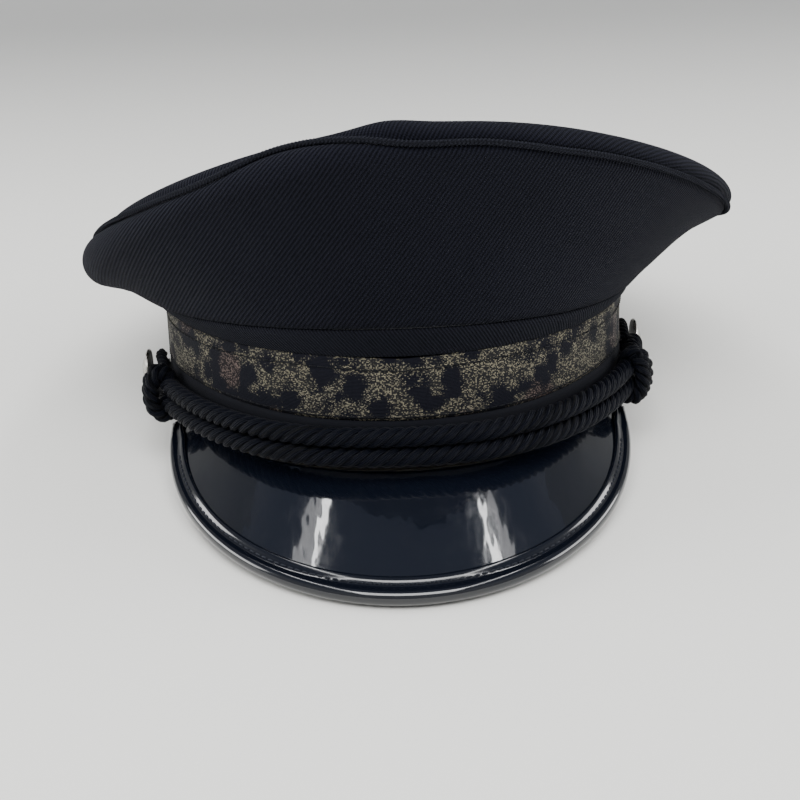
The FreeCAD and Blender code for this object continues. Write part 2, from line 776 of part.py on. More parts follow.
def slide_knot(doc, label, outwards):
    """A barrel round both ropes; the ropes run along local Y through its slot.

    `outwards` is 1 where local +X points away from the band and -1 where it points towards it.
    """
    body = new_body(doc, label)
    thin = "($cord_radius + $slot_clearance + $knot_inner)"
    thick = "($cord_radius + $slot_clearance + $knot_outer)"
    low, high = ("-" + thin, thick) if outwards > 0 else ("-" + thick, thin)
    block = profile_sketch(doc, body, label + "_block_profile", "XZ_Plane", [
        (low, "-$knot_half_height"), (high, "-$knot_half_height"),
        (high, "$knot_half_height"), (low, "$knot_half_height")])
    pad = body.newObject("PartDesign::Pad", label + "_block")
    pad.Profile = block
    bind(pad, "Length", "$knot_length")
    pad.SideType = "Symmetric"
    doc.recompute()
    rounded = body.newObject("PartDesign::Fillet", label + "_rounded")
    rounded.Base = (pad, ["Edge%d" % (index + 1) for index in range(len(pad.Shape.Edges))])
    rounded.Radius = 1.7
    doc.recompute()
    slot_half = "($cord_radius + $slot_clearance)"
    tall = "($cord_radius + $slot_clearance + $cord_spacing / 2)"
    slot = profile_sketch(doc, body, label + "_slot_profile", "XZ_Plane", [
        ("-" + slot_half, "-" + tall), (slot_half, "-" + tall),
        (slot_half, tall), ("-" + slot_half, tall)])
    pocket = body.newObject("PartDesign::Pocket", label + "_slot")
    pocket.Profile = slot
    bind(pocket, "Length", "$knot_length + 4")
    pocket.SideType = "Symmetric"
    body.Tip = pocket
    return body


# ---------------------------------------------------------------- placing and writing

def rest_placement(size):
    return Placement(
        Vector(-size.rest_shift_x, -size.rest_shift_y, size.rest_lift),
        Rotation(Vector(1, 0, 0), -size.rest_pitch),
    )


def place(obj, rest, local=Placement()):
    obj.Placement = rest.multiply(local)


def wall_x(size, y):
    """The half width of the band's outer face at y."""
    return size.band_half_width * math.sqrt(1 - (y / size.band_half_length) ** 2)


def build_crown(doc, size):
    seam = size.side_seam_angle
    split = 0.35
    stay_outer = size.crown_cloth + 2.2
    pieces = [
        crown_top_panel(doc, size),
        crown_side_panel(doc, size, "crown_front_panel", [span_angles(-seam, 0), span_angles(0, seam)]),
        crown_side_panel(doc, size, "crown_rear_left_panel", [span_angles(-180 + split, -seam - split)]),
        crown_side_panel(doc, size, "crown_rear_right_panel", [span_angles(seam + split, 180 - split)]),
        crown_lower_strip(doc, size),
        crown_piping(doc, size),
        crown_ring_wire(doc, size),
        crown_rim_roll(doc, size),
        crown_front_sheet(doc, size, "crown_front_pad", size.pad_angle,
                          size.crown_cloth + 0.4, size.crown_cloth + 2.0, (0.06, 0.48, 0.9)),
        crown_front_sheet(doc, size, "crown_front_stay", size.stay_angle,
                          stay_outer, stay_outer + 0.8, (0.03, 0.46, 0.89)),
        lining_side(doc, size),
        saddle_disc(doc, size, "lining_top", 0.88, size.lining_drop, size.lining_cloth),
        saddle_disc(doc, size, "sweat_shield", 0.5, size.lining_drop + size.lining_cloth + 0.3, 0.4),
    ]
    return [(piece, Placement()) for piece in pieces]


def build_ferrule(doc, size):
    centre = rim_centre(size, 180)
    start = centre - Vector(size.ferrule_length / 2, 0, 0)
    return [(crown_ring_ferrule(doc), Placement(start, Rotation(Vector(0, 1, 0), 90)))]


def build_band(doc):
    welt = elliptic_tube(doc, "band_lower_welt", "-$welt_proud", "$band_cloth + $welt_proud",
                         "0", "$welt_height")
    stiffener = elliptic_tube(doc, "band_stiffener", "$band_cloth + $layer_gap", "$stiffener_wall",
                              "0.2", "$stiffener_height")
    pieces = [
        elliptic_tube(doc, "cap_band", "0", "$band_cloth", "$welt_height + $layer_gap",
                      "$band_height - $welt_height - $layer_gap"),
        with_side_holes(doc, welt, "band_lower_welt"),
        with_side_holes(doc, stiffener, "band_stiffener"),
        elliptic_tube(doc, "sweatband", "$sweatband_inset", "$sweatband_wall", "0.2",
                      "$sweatband_height"),
        size_tab(doc),
    ]
    return [(piece, Placement(piece.Placement)) for piece in pieces]


def build_visor(doc, size):
    top = visor_half(size)
    under = -visor_half(size)
    gap = 0.05
    skin = size.visor_skin
    pieces = [
        visor_sheet(doc, size, "visor_top_skin", top, top - skin, size.visor_setback, 0),
        visor_sheet(doc, size, "visor_board", top - skin - gap, under + skin + gap, size.visor_setback, 0),
        visor_sheet(doc, size, "visor_underside", under + skin, under, size.visor_setback, 0),
        visor_binding(doc, size),
        visor_flange(doc, size),
    ]
    return [(piece, Placement()) for piece in pieces]


def build_buttons(doc, size):
    placed = []
    for side, sign, y in (("left", -1, size.left_button_y), ("right", 1, size.right_button_y)):
        outwards = Rotation(Vector(0, 1, 0), 90 * sign)
        wall = wall_x(size, y)
        inner_face = wall - size.band_cloth - size.layer_gap - size.stiffener_wall
        back = wall + size.button_stand
        shank_start = back + size.button_back_wall - (size.button_stand + size.shank_inside)
        for piece, x in (
            (button_shell(doc, side), back), (button_back(doc, side), back),
            (button_shank(doc, side), shank_start), (button_clip(doc, side), inner_face - size.clip_offset),
            (side_eyelet(doc, side), inner_face + 0.1),
        ):
            spot = Vector(sign * x, y, size.button_height)
            placed.append((piece, Placement(spot, outwards)))
    return placed


def build_cords(doc, size):
    line = CordOval(size)
    tilt = Rotation(Vector(1, 0, 0), size.cord_tilt)
    frame = Placement(Vector(0, 0, size.button_height), tilt)
    placed = []
    for label, sign in (("chin_cord_upper", 1), ("chin_cord_lower", -1)):
        cord = chin_cord(doc, size, label, size.loop_length + 0.8)
        lift = Placement(Vector(0, 0, sign * size.cord_spacing / 2), Rotation())
        placed.append((cord, frame.multiply(lift)))
    for side, sign, y in (("left", -1, size.left_button_y), ("right", 1, size.right_button_y)):
        angle = math.radians(line.side_angle(y - size.loop_length))
        start_x = line.side_radius * math.cos(angle) - line.side_centre
        post_x = wall_x(size, y) + size.post_stand
        reach = Vector(sign * (post_x - start_x), size.loop_length, 0)
        along = Vector(reach).normalize()
        turn = Rotation(along, Vector(0, 0, 1), along.cross(Vector(0, 0, 1)), "XYZ")
        loop = cord_loop(doc, size, side + "_cord_loop", reach.Length)
        placed.append((loop, Placement(Vector(sign * post_x, y, size.button_height), turn)))
        knot = slide_knot(doc, side + "_slide_knot", sign)
        spot_angle = -size.knot_angle
        reach = line.side_radius * math.cos(math.radians(spot_angle)) - line.side_centre
        spot = Vector(sign * reach, line.side_radius * math.sin(math.radians(spot_angle)), 0)
        around = Rotation(Vector(0, 0, 1), sign * spot_angle)
        placed.append((knot, frame.multiply(Placement(spot, around))))
    return placed


def check_and_write(doc, nodes):
    failed = [obj.Name for obj in doc.Objects if set(obj.State) & {"Invalid", "Error"}]
    if failed:
        raise RuntimeError("failed objects: %s" % ", ".join(failed))
    os.makedirs("parts", exist_ok=True)
    for obj in nodes:
        shape = obj.Shape
        if shape.isNull() or not shape.isValid() or shape.Volume <= 0:
            raise RuntimeError("bad shape: %s" % obj.Label)
    for obj in nodes:
        obj.Shape.exportStep(os.path.join("parts", obj.Label + ".step"))


def main():
    doc = FreeCAD.newDocument("peaked_cap")
    size = Sizes(make_sheet(doc))
    rest = rest_placement(size)
    placed = (
        build_crown(doc, size) + build_ferrule(doc, size) + build_band(doc)
        + build_visor(doc, size) + build_buttons(doc, size) + build_cords(doc, size)
    )
    doc.recompute()
    for obj, local in placed:
        place(obj, rest, local)
    doc.recompute()
    nodes = [obj for obj, _ in placed]
    check_and_write(doc, nodes)
    box = FreeCAD.BoundBox()
    for obj in nodes:
        bounds = obj.Shape.BoundBox
        box.add(bounds)
        print("%-26s volume %9.1f mm3  z %7.2f to %7.2f" % (
            obj.Label, obj.Shape.Volume, bounds.ZMin, bounds.ZMax))
    print("whole cap: x %.2f %.2f  y %.2f %.2f  z %.2f %.2f" % (
        box.XMin, box.XMax, box.YMin, box.YMax, box.ZMin, box.ZMax))


main()
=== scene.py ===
"""Looks for the peaked cap: cloth, patterned band, patent visor, twisted ropes and buttons.

Shapes are worked out in millimetres in the band frame: the band's bottom edge lies in the plane
z = 0, the head oval is centred on Z, and the front faces -Y. The mount of the frame's record says
where that frame stands. An angle of 0 degrees is the front, and 90 degrees is +X.
"""
import json
import math

import bpy
import numpy as np
from mathutils import Matrix, Vector


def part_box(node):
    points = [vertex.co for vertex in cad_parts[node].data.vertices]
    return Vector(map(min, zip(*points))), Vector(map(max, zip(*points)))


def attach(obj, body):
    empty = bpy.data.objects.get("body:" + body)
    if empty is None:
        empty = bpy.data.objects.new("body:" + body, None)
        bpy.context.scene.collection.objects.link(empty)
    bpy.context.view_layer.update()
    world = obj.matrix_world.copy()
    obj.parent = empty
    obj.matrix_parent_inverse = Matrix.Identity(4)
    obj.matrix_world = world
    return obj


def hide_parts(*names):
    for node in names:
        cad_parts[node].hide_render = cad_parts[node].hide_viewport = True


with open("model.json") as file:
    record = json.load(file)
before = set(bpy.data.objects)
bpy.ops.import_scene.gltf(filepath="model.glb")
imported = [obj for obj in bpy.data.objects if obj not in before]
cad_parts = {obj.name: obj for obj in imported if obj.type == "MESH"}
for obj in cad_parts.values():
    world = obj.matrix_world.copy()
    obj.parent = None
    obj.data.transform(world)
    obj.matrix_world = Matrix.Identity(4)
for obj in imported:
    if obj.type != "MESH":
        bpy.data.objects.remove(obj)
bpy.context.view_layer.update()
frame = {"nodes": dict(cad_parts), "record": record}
CAP = "cap"
CORDS = "chin_cord"

# ------------------------------------------------------------------ the frame's own dimensions

MM = 0.001
MOUNT = frame["record"]["mounts"][0]
BAND_ORIGIN = np.array(MOUNT["pos_m"])
BAND_UP = -np.array(MOUNT["axis"])
BAND_TURN = np.array([[1.0, 0.0, 0.0], [0.0, BAND_UP[2], -BAND_UP[1]], BAND_UP])


def middle_width(node):
    low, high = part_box(node)
    return (high.x - low.x) / 2 / MM


HALF_WIDTH = middle_width("cap_band")
HALF_LENGTH = HALF_WIDTH + 14.2
BAND_TOP = 40.2
WELT_TOP = 17.3
BAND_CLOTH = 1.6

RIM_HALF_WIDTH, RIM_HALF_LENGTH = 119.6, 120.9
RIM_SHIFT = (7.7, 1.5)
RIM_HEIGHT, FRONT_RISE, SIDE_DROOP, LEAN = 84.5, 28.7, 25.5, 7.4
ROLL_RADIUS, ROLL_TAPER = 7.3, 2.4
CLOTH = 1.2
CENTRE_REACH = 0.12
STRIP_LOW, STRIP_RISE, STRIP_CUT_HEIGHT = 4.5, 6.0, 11.0
PIPING_RADIUS, SEAM_GAP = 1.15, 1.05

VISOR_HALF_WIDTH, VISOR_END_Y, VISOR_FRONT_Y = 87.7, 40.4, 145.0
VISOR_DROP, VISOR_END_DROP, VISOR_POWER = 32.2, 3.4, 0.63
VISOR_HALF = 1.7
BINDING_WIDTH, SKIN_BACK = 9.5, 4.2

CORD_HEIGHT, CORD_TILT, CORD_SPACING = 12.0, 1.1, 7.3
ROPE_RADIUS, LOOP_RADIUS, LOOP_LENGTH = 3.6, 2.2, 14.0
POST_Y = {"left": -14.0, "right": 5.0}
POST_STAND = 4.0
SIDE_CENTRE, SIDE_RADIUS = 19.3, 116.3
KNOT_INNER, KNOT_TURNS, KNOT_ROPE_RADIUS = -3.5, 2.25, 3.1
PAD_ANGLE = 38.0
BUTTON_RADIUS, BEADS = 7.6, 36


def rest(points):
    """Band-frame millimetres to row-frame metres."""
    return np.asarray(points, float) @ BAND_TURN * MM + BAND_ORIGIN


def radial(angle):
    turn = np.radians(angle)
    return np.stack([np.sin(turn), -np.cos(turn), 0 * turn], -1)


UP = np.array([0.0, 0.0, 1.0])
LEVEL = 1 - UP


def oval(angle, offset, height):
    """A point on the head oval moved outwards by offset."""
    turn = np.radians(angle)
    x = (HALF_WIDTH + offset) * np.sin(turn)
    y = -(HALF_LENGTH + offset) * np.cos(turn)
    return np.stack([x, y, height + 0 * x], -1)


def bump_at(value, centre, width):
    return np.exp(-((value - centre) / width) ** 2)


def smooth_noise(u, v, scale, seed):
    """Gentle repeatable unevenness from a few crossed waves, about -1 to 1."""
    rng = np.random.default_rng(seed)
    total = 0 * (u + v)
    for _ in range(7):
        way = rng.uniform(0, 2 * math.pi)
        length = scale * rng.uniform(0.6, 1.7)
        phase = rng.uniform(0, 2 * math.pi)
        total = total + np.sin((u * math.cos(way) + v * math.sin(way)) * 2 * math.pi / length + phase)
    return total / 3.5


# ------------------------------------------------------------------ meshes


def new_piece(name, points, faces, body, material, replaced=None, cloth=None):
    """A mesh piece from band-frame points, with an optional attribute of cloth coordinates in mm."""
    mesh = bpy.data.meshes.new(name)
    mesh.from_pydata(rest(points).tolist(), [], faces)
    if cloth is not None:
        layer = mesh.attributes.new("cloth", "FLOAT_VECTOR", "POINT")
        layer.data.foreach_set("vector", np.asarray(cloth, np.float32).ravel())
    mesh.validate()
    mesh.update()
    mesh.polygons.foreach_set("use_smooth", [True] * len(mesh.polygons))
    mesh.materials.append(material)
    piece = bpy.data.objects.new(name, mesh)
    bpy.context.scene.collection.objects.link(piece)
    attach(piece, body)
    if replaced:
        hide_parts(replaced)
    return piece


def grid_faces(rows, columns, start=0, flip=False, wrap=False):
    faces = []
    last = columns if wrap else columns - 1
    for row in range(rows - 1):
        for column in range(last):
            beside = (column + 1) % columns
            a = start + row * columns + column
            b = start + row * columns + beside
            c = start + (row + 1) * columns + beside
            d = start + (row + 1) * columns + column
            faces.append((a, d, c, b) if flip else (a, b, c, d))
    return faces


def shell_mesh(outer, inner):
    """A closed sheet between two equal grids (rows, columns, 3), joined round its four edges."""
    rows, columns = outer.shape[:2]
    count = rows * columns
    points = np.concatenate([outer.reshape(-1, 3), inner.reshape(-1, 3)])
    faces = grid_faces(rows, columns) + grid_faces(rows, columns, count, True)
    for column in range(columns - 1):
        for row, flip in ((0, False), (rows - 1, True)):
            a, b = row * columns + column, row * columns + column + 1
            rim = (a, a + count, b + count, b)
            faces.append(rim[::-1] if flip else rim)
    for row in range(rows - 1):
        for column, flip in ((0, True), (columns - 1, False)):
            a, b = row * columns + column, (row + 1) * columns + column
            rim = (a, a + count, b + count, b)
            faces.append(rim[::-1] if flip else rim)
    return points, faces


def cloth_measure(grid):
    """Distance along the rows and up the columns of a grid, in mm, with the middle column at 0."""
    along = np.linalg.norm(np.diff(grid, axis=1), axis=2).mean(0)
    u = np.concatenate([[0.0], np.cumsum(along)])
    u = u - u[len(u) // 2]
    up = np.linalg.norm(np.diff(grid, axis=0), axis=2)
    v = np.concatenate([np.zeros((1, grid.shape[1])), np.cumsum(up, axis=0)])
    return np.stack([np.broadcast_to(u, v.shape), v, 0 * v], -1)


def shell_piece(name, grids, material, replaced, cloth=None):
    """A sheet of the cap between its outer and its inner grid."""
    points, faces = shell_mesh(*grids)
    cloth = cloth_measure(grids[0]) if cloth is None else cloth
    return new_piece(name, points, faces, CAP, material, replaced, np.tile(cloth.reshape(-1, 3), (2, 1)))


def sheet_grids(depths, shares, row_at):
    """The outer and the inner grid of a sheet; row_at(depth, share) gives one row of points."""
    return [np.concatenate([row_at(depth, share) for share in shares]) for depth in depths]


def distances(path):
    """The distance along a path from its first point to each of its points."""
    return np.concatenate([[0], np.cumsum(np.linalg.norm(np.diff(path, axis=0), axis=1))])


def at_distances(path, wanted):
    """The points of a path at the wanted distances along it."""
    reach = distances(path)
    return np.stack([np.interp(wanted, reach, path[:, axis]) for axis in range(3)], -1)


def unrolled(feet, heads):
    """The ruled side laid flat: 2-D feet and heads of its ruling lines, the middle one upright at 0."""
    def beside(first, second, from_first, from_second):
        base = np.linalg.norm(second - first)
        along = (from_first ** 2 - from_second ** 2 + base ** 2) / (2 * base)
        off = math.sqrt(max(from_first ** 2 - along ** 2, 0.0))
        way = (second - first) / base
        return first + along * way + off * np.array([way[1], -way[0]])

    distance = np.linalg.norm
    flat_feet = [np.zeros(2)]
    flat_heads = [np.array([0.0, distance(heads[0] - feet[0])])]
    for index in range(1, len(feet)):
        foot = beside(flat_feet[-1], flat_heads[-1], distance(feet[index] - feet[index - 1]),
                      distance(feet[index] - heads[index - 1]))
        head = beside(foot, flat_heads[-1], distance(heads[index] - feet[index]),
                      distance(heads[index] - heads[index - 1]))
        flat_feet.append(foot)
        flat_heads.append(head)
    flat_feet, flat_heads = np.array(flat_feet), np.array(flat_heads)
    middle = len(feet) // 2
    up = flat_heads[middle] - flat_feet[middle]
    up /= distance(up)
    turn = np.array([[up[1], -up[0]], [up[0], up[1]]])
    origin = flat_feet[middle]
    return (flat_feet - origin) @ turn.T, (flat_heads - origin) @ turn.T


def transported(path):
    """Two normals along a path that turn as little as they can."""
    tangent = np.gradient(path, axis=0)
    tangent /= np.linalg.norm(tangent, axis=1, keepdims=True)
    side = np.cross(tangent[0], UP if abs(tangent[0][2]) < 0.9 else np.array([1.0, 0, 0]))
    sides = []
    for way in tangent:
        side = side - way * (side @ way)
        side = side / np.linalg.norm(side)
        sides.append(side)
    sides = np.array(sides)
    return sides, np.cross(tangent, sides)


def tube_mesh(path, radius, sides=10):
    """A closed tube along a path; the radius can be one number or one for each point."""
    first, second = transported(path)
    around = np.linspace(0, 2 * math.pi, sides, endpoint=False)
    radius = np.broadcast_to(np.asarray(radius, float), (len(path),))
    ring = (first[:, None] * np.cos(around)[None, :, None]
            + second[:, None] * np.sin(around)[None, :, None])
    points = (path[:, None] + ring * radius[:, None, None]).reshape(-1, 3)
    faces = grid_faces(len(path), sides, wrap=True)
    faces.append(tuple(range(sides))[::-1])
    faces.append(tuple(range(len(points) - sides, len(points))))
    return points, faces, tube_cloth(distances(path), around)


def tube_cloth(step, around):
    """Cloth coordinates of a tube: distance along it and angle round it."""
    return np.stack(np.broadcast_arrays(step[:, None], around[None, :], 0.0), -1).reshape(-1, 3)


def joined(parts):
    """Several (points, faces, cloth) meshes as one."""
    points, faces, cloth, start = [], [], [], 0
    for some_points, some_faces, some_cloth in parts:
        points.append(some_points)
        faces += [tuple(index + start for index in face) for face in some_faces]
        cloth.append(some_cloth)
        start += len(some_points)
    return np.concatenate(points), faces, np.concatenate(cloth)


# ------------------------------------------------------------------ materials

class Nodes:
    """A short way to build a node tree."""

    def __init__(self, name):
        self.material = bpy.data.materials.new(name)
        self.material.use_nodes = True
        self.tree = self.material.node_tree
        self.shader = self.tree.nodes["Principled BSDF"]

    def link(self, value, socket):
        if isinstance(value, bpy.types.NodeSocket):
            self.tree.links.new(value, socket)
        else:
            socket.default_value = value

    def node(self, kind, **settings):
        node = self.tree.nodes.new(kind)
        for key, value in settings.items():
            setattr(node, key, value)
        return node

    def math(self, operation, *values):
        node = self.node("ShaderNodeMath", operation=operation)
        for value, socket in zip(values, node.inputs):
            self.link(value, socket)
        return node.outputs[0]

    def plus(self, first, second):
        return self.math("ADD", first, second)

    def minus(self, first, second):
        return self.math("SUBTRACT", first, second)

    def times(self, first, second):
        return self.math("MULTIPLY", first, second)

    def sine(self, value, period):
        return self.math("SINE", self.times(value, 2 * math.pi / period))

    def cloth(self):
        return self.node("ShaderNodeAttribute", attribute_name="cloth").outputs["Vector"]

    def vector(self, operation, first, second=None):
        node = self.node("ShaderNodeVectorMath", operation=operation)
        self.link(first, node.inputs[0])
        if second is not None:
            self.link(second, node.inputs["Scale" if operation == "SCALE" else 1])
        return node.outputs["Value" if operation == "DOT_PRODUCT" else "Vector"]

    def place(self):
        """Object coordinates in millimetres."""
        return self.vector("SCALE", self.node("ShaderNodeTexCoord").outputs["Object"], 1 / MM)

    def dot(self, vector, way):
        return self.vector("DOT_PRODUCT", vector, way)

    def scaled(self, vector, factors):
        return self.vector("MULTIPLY", vector, factors)

    def added(self, vector, other):
        return self.vector("ADD", vector, other)

    def texture(self, kind, vector, values, **settings):
        node = self.node(kind, **settings)
        self.link(vector, node.inputs["Vector"])
        for key, value in values.items():
            node.inputs[key].default_value = value
        return node

    def noise(self, vector, size, detail=2.0, rough=0.5):
        """Noise whose features are about size millimetres."""
        values = {"Scale": 1 / size, "Detail": detail, "Roughness": rough}
        return self.texture("ShaderNodeTexNoise", vector, values).outputs["Fac"]

    def noise_vector(self, vector, size, amount):
        """The vector moved about by noise of that size, by about amount."""
        noise = self.texture("ShaderNodeTexNoise", vector, {"Scale": 1 / size})
        centred = self.vector("SUBTRACT", noise.outputs["Color"], (0.5, 0.5, 0.5))
        return self.added(vector, self.vector("SCALE", centred, 2 * amount))

    def cells(self, vector, size, feature="F1", randomness=1.0):
        values = {"Scale": 1 / size, "Randomness": randomness}
        return self.texture("ShaderNodeTexVoronoi", vector, values, feature=feature)

    def random(self, vector):
        return self.texture("ShaderNodeTexWhiteNoise", vector, {}, noise_dimensions="3D").outputs["Value"]

    def steps(self, vector, sizes):
        """The vector rounded down to a lattice, so that each thread crossing is one colour."""
        return self.vector("FLOOR", self.scaled(vector, tuple(1 / size for size in sizes)))

    def ramp(self, value, *stops):
        node = self.node("ShaderNodeValToRGB")
        self.link(value, node.inputs["Fac"])
        elements = node.color_ramp.elements
        while len(elements) < len(stops):
            elements.new(0.5)
        for element, (position, color) in zip(elements, stops):
            element.position = position
            element.color = (*color, 1) if hasattr(color, "__len__") else (color, color, color, 1)
        return node.outputs["Color"]

    def between(self, value, low, high):
        """0 below low, 1 above high, smooth between."""
        node = self.node("ShaderNodeMapRange", interpolation_type="SMOOTHSTEP")
        self.link(value, node.inputs["Value"])
        self.link(low, node.inputs["From Min"])
        self.link(high, node.inputs["From Max"])
        return node.outputs["Result"]

    def mix(self, factor, first, second):
        node = self.node("ShaderNodeMix", data_type="RGBA")
        self.link(factor, node.inputs["Factor"])
        sockets = [s for s in node.inputs if s.type == "RGBA"]
        for value, socket in ((first, sockets[0]), (second, sockets[1])):
            self.link(value if isinstance(value, bpy.types.NodeSocket) else (*value, 1), socket)
        return [s for s in node.outputs if s.type == "RGBA"][0]

    def bump(self, height, distance, strength=1.0, normal=None):
        node = self.node("ShaderNodeBump")
        self.link(height, node.inputs["Height"])
        node.inputs["Distance"].default_value = distance * MM
        node.inputs["Strength"].default_value = strength
        if normal is not None:
            self.link(normal, node.inputs["Normal"])
        return node.outputs["Normal"]

    def finish(self, **sockets):
        for key, value in sockets.items():
            self.link(value, self.shader.inputs[key.replace("_", " ")])
        return self.material


def twill(name, way, spacing, dark, light, lint=0.0):
    """Wool twill: diagonal ribs `spacing` mm apart whose crossing direction is `way`."""
    n = Nodes(name)
    cloth = n.noise_vector(n.cloth(), 9, 0.2)
    rib = n.sine(n.dot(cloth, (math.cos(way), math.sin(way), 0)), spacing)
    thread = n.sine(n.dot(cloth, (-math.sin(way), math.cos(way), 0)), spacing * 0.62)
    rib_height = n.plus(n.times(rib, 0.5), n.times(thread, 0.16))
    fuzz = n.noise(n.place(), 0.6, 3, 0.7)
    height = n.plus(rib_height, n.times(fuzz, 0.7))
    shade = n.plus(n.times(rib, 0.34), n.times(fuzz, 0.9))
    broad = n.noise(n.place(), 38, 3, 0.6)
    shade = n.plus(shade, n.times(broad, 0.25))
    color = n.ramp(shade, (0.12, dark), (1.0, light))
    if lint:
        speck = n.cells(n.place(), 7.5)
        dot = n.between(speck.outputs["Distance"], 0.045, 0.03)
        some = n.between(n.random(speck.outputs["Position"]), 0.80, 0.84)
        color = n.mix(n.times(n.times(dot, some), lint), color, (0.12, 0.12, 0.12))
    return n.finish(
        Base_Color=color, Roughness=0.9, Normal=n.bump(height, 0.34),
        Sheen_Weight=0.025, Sheen_Roughness=0.45, Sheen_Tint=(0.66, 0.72, 0.90, 1),
        Specular_IOR_Level=0.07)


def jacquard(name):
    """Metallic animal-print jacquard: fine champagne stipple, dark spots and browner rosette hearts."""
    n = Nodes(name)
    cloth = n.cloth()
    bent = n.noise_vector(n.noise_vector(cloth, 12, 1.5), 3.0, 0.6)
    grain = n.random(n.steps(cloth, (0.44, 0.36, 1)))
    dither = n.times(n.minus(grain, 0.5), 0.26)

    spots = n.cells(bent, 10.5, randomness=0.75)
    reach = n.plus(spots.outputs["Distance"], dither)
    own = n.random(spots.outputs["Position"])
    size = n.plus(0.29, n.times(own, 0.19))
    solid = n.between(n.minus(size, reach), -0.02, 0.02)

    rings = n.cells(n.added(bent, (31.0, 17.0, 3.0)), 25, randomness=0.8)
    ring_reach = n.plus(rings.outputs["Distance"], n.times(dither, 0.5))
    off_ring = n.math("ABSOLUTE", n.minus(ring_reach, 0.36))
    gaps = n.noise(n.added(cloth, (3.0, 50.0, 9.0)), 7, 1)
    ring_width = n.times(n.minus(gaps, 0.42), 0.8)
    ring = n.between(n.minus(ring_width, off_ring), -0.02, 0.02)
    heart = n.between(ring_reach, 0.36, 0.26)
    heart = n.times(heart, n.between(n.random(rings.outputs["Position"]), 0.35, 0.40))
    dark = n.math("MAXIMUM", solid, ring)

    fleck = n.random(n.steps(n.added(cloth, (5.1, 2.3, 0.0)), (0.46, 0.34, 1)))
    open_weave = n.noise(cloth, 4, 3)
    bright = n.between(fleck, n.minus(0.92, n.times(open_weave, 0.62)),
                       n.minus(1.12, n.times(open_weave, 0.50)))
    gold = n.mix(n.noise(cloth, 16, 1), (0.170, 0.152, 0.102), (0.195, 0.181, 0.137))
    ground = n.mix(bright, (0.012, 0.012, 0.013), gold)
    brown = n.mix(bright, (0.010, 0.008, 0.009), (0.115, 0.085, 0.075))
    light_cloth = n.mix(heart, ground, brown)
    color = n.mix(dark, light_cloth, (0.0022, 0.0027, 0.0065))
    metal = n.times(n.times(bright, n.minus(1.0, dark)), 0.4)
    threads = n.plus(n.sine(n.dot(cloth, (0, 1, 0)), 0.5), n.times(fleck, 1.2))
    return n.finish(
        Base_Color=color, Metallic=metal, Roughness=n.minus(0.72, n.times(metal, 0.5)),
        Normal=n.bump(threads, 0.10), Sheen_Weight=0.0, Specular_IOR_Level=0.12)


def plain_weave(name, color, light, size=0.7, rough=0.8, sheen=0.1, depth=0.12):
    n = Nodes(name)
    cloth = n.cloth()
    warp = n.sine(n.dot(cloth, (1, 0, 0)), size)
    weft = n.sine(n.dot(cloth, (0, 1, 0)), size)
    weave = n.plus(n.times(warp, weft), n.noise(n.place(), 1.2, 2))
    tone = n.mix(n.noise(n.place(), 14, 3), color, light)
    return n.finish(Base_Color=tone, Roughness=rough, Normal=n.bump(weave, depth), Sheen_Weight=sheen,
                    Specular_IOR_Level=0.15)


def patent(name, color, wave, coat=1.0, haze=0.03):
    """Patent leather: a hard glossy coat over slightly uneven leather."""
    n = Nodes(name)
    place = n.place()
    slow = n.noise(n.scaled(place, (1.0, 0.35, 0.35)), 9, 2)
    fine = n.noise(place, 2.2, 2)
    height = n.plus(slow, n.times(fine, 0.10))
    tone = n.mix(n.noise(place, 30, 2), color, tuple(channel * 1.25 for channel in color))
    smudge = n.between(n.noise(place, 12, 4, 0.7), 0.45, 0.75)
    return n.finish(
        Base_Color=tone, Roughness=n.plus(0.10, n.times(smudge, 0.09)),
        Normal=n.bump(height, wave), Coat_Weight=coat, Coat_Roughness=haze, Coat_IOR=1.5,
        Coat_Normal=n.bump(slow, wave), Specular_IOR_Level=0.5)


def leather(name, color, grain=1.1, rough=0.5):
    n = Nodes(name)
    place = n.place()
    pores = n.cells(n.noise_vector(place, 3, 0.5), grain, "DISTANCE_TO_EDGE")
    crease = n.between(pores.outputs["Distance"], 0.0, 0.12)
    tone = n.mix(n.noise(place, 20, 3), color, tuple(channel * 1.5 + 0.004 for channel in color))
    return n.finish(
        Base_Color=tone, Roughness=n.minus(rough + 0.15, n.times(crease, 0.15)),
        Normal=n.bump(crease, 0.09))


def satin_rope(name):
    """Fine parallel threads along each strand; cloth x runs along it and y is its own angle."""
    n = Nodes(name)
    cloth = n.cloth()
    lay = n.plus(n.times(n.dot(cloth, (0, 1, 0)), 12 / (2 * math.pi)),
                 n.times(n.dot(cloth, (1, 0, 0)), 0.16))
    threads = n.sine(lay, 1.0)
    fuzz = n.noise(n.place(), 0.5, 2)
    tone = n.ramp(n.plus(n.times(threads, 0.25), fuzz),
                  (0.25, (0.0008, 0.0012, 0.0030)), (0.95, (0.0036, 0.0046, 0.0095)))
    return n.finish(
        Base_Color=tone, Roughness=0.5, Normal=n.bump(n.plus(threads, fuzz), 0.16),
        Sheen_Weight=0.01, Sheen_Roughness=0.4, Specular_IOR_Level=0.07)


def metal(name, color, rough, worn=0.25, age=0.3):
    n = Nodes(name)
    place = n.place()
    stain = n.between(n.noise(place, 3.5, 4, 0.65), 0.40, 0.68)
    tone = n.mix(n.times(stain, age), color, tuple(channel * 0.25 for channel in color))
    scratch = n.noise(n.scaled(place, (1, 1, 9)), 2.0, 3)
    return n.finish(
        Base_Color=tone, Metallic=1.0, Normal=n.bump(scratch, 0.03),
        Roughness=n.plus(rough, n.times(stain, worn)))


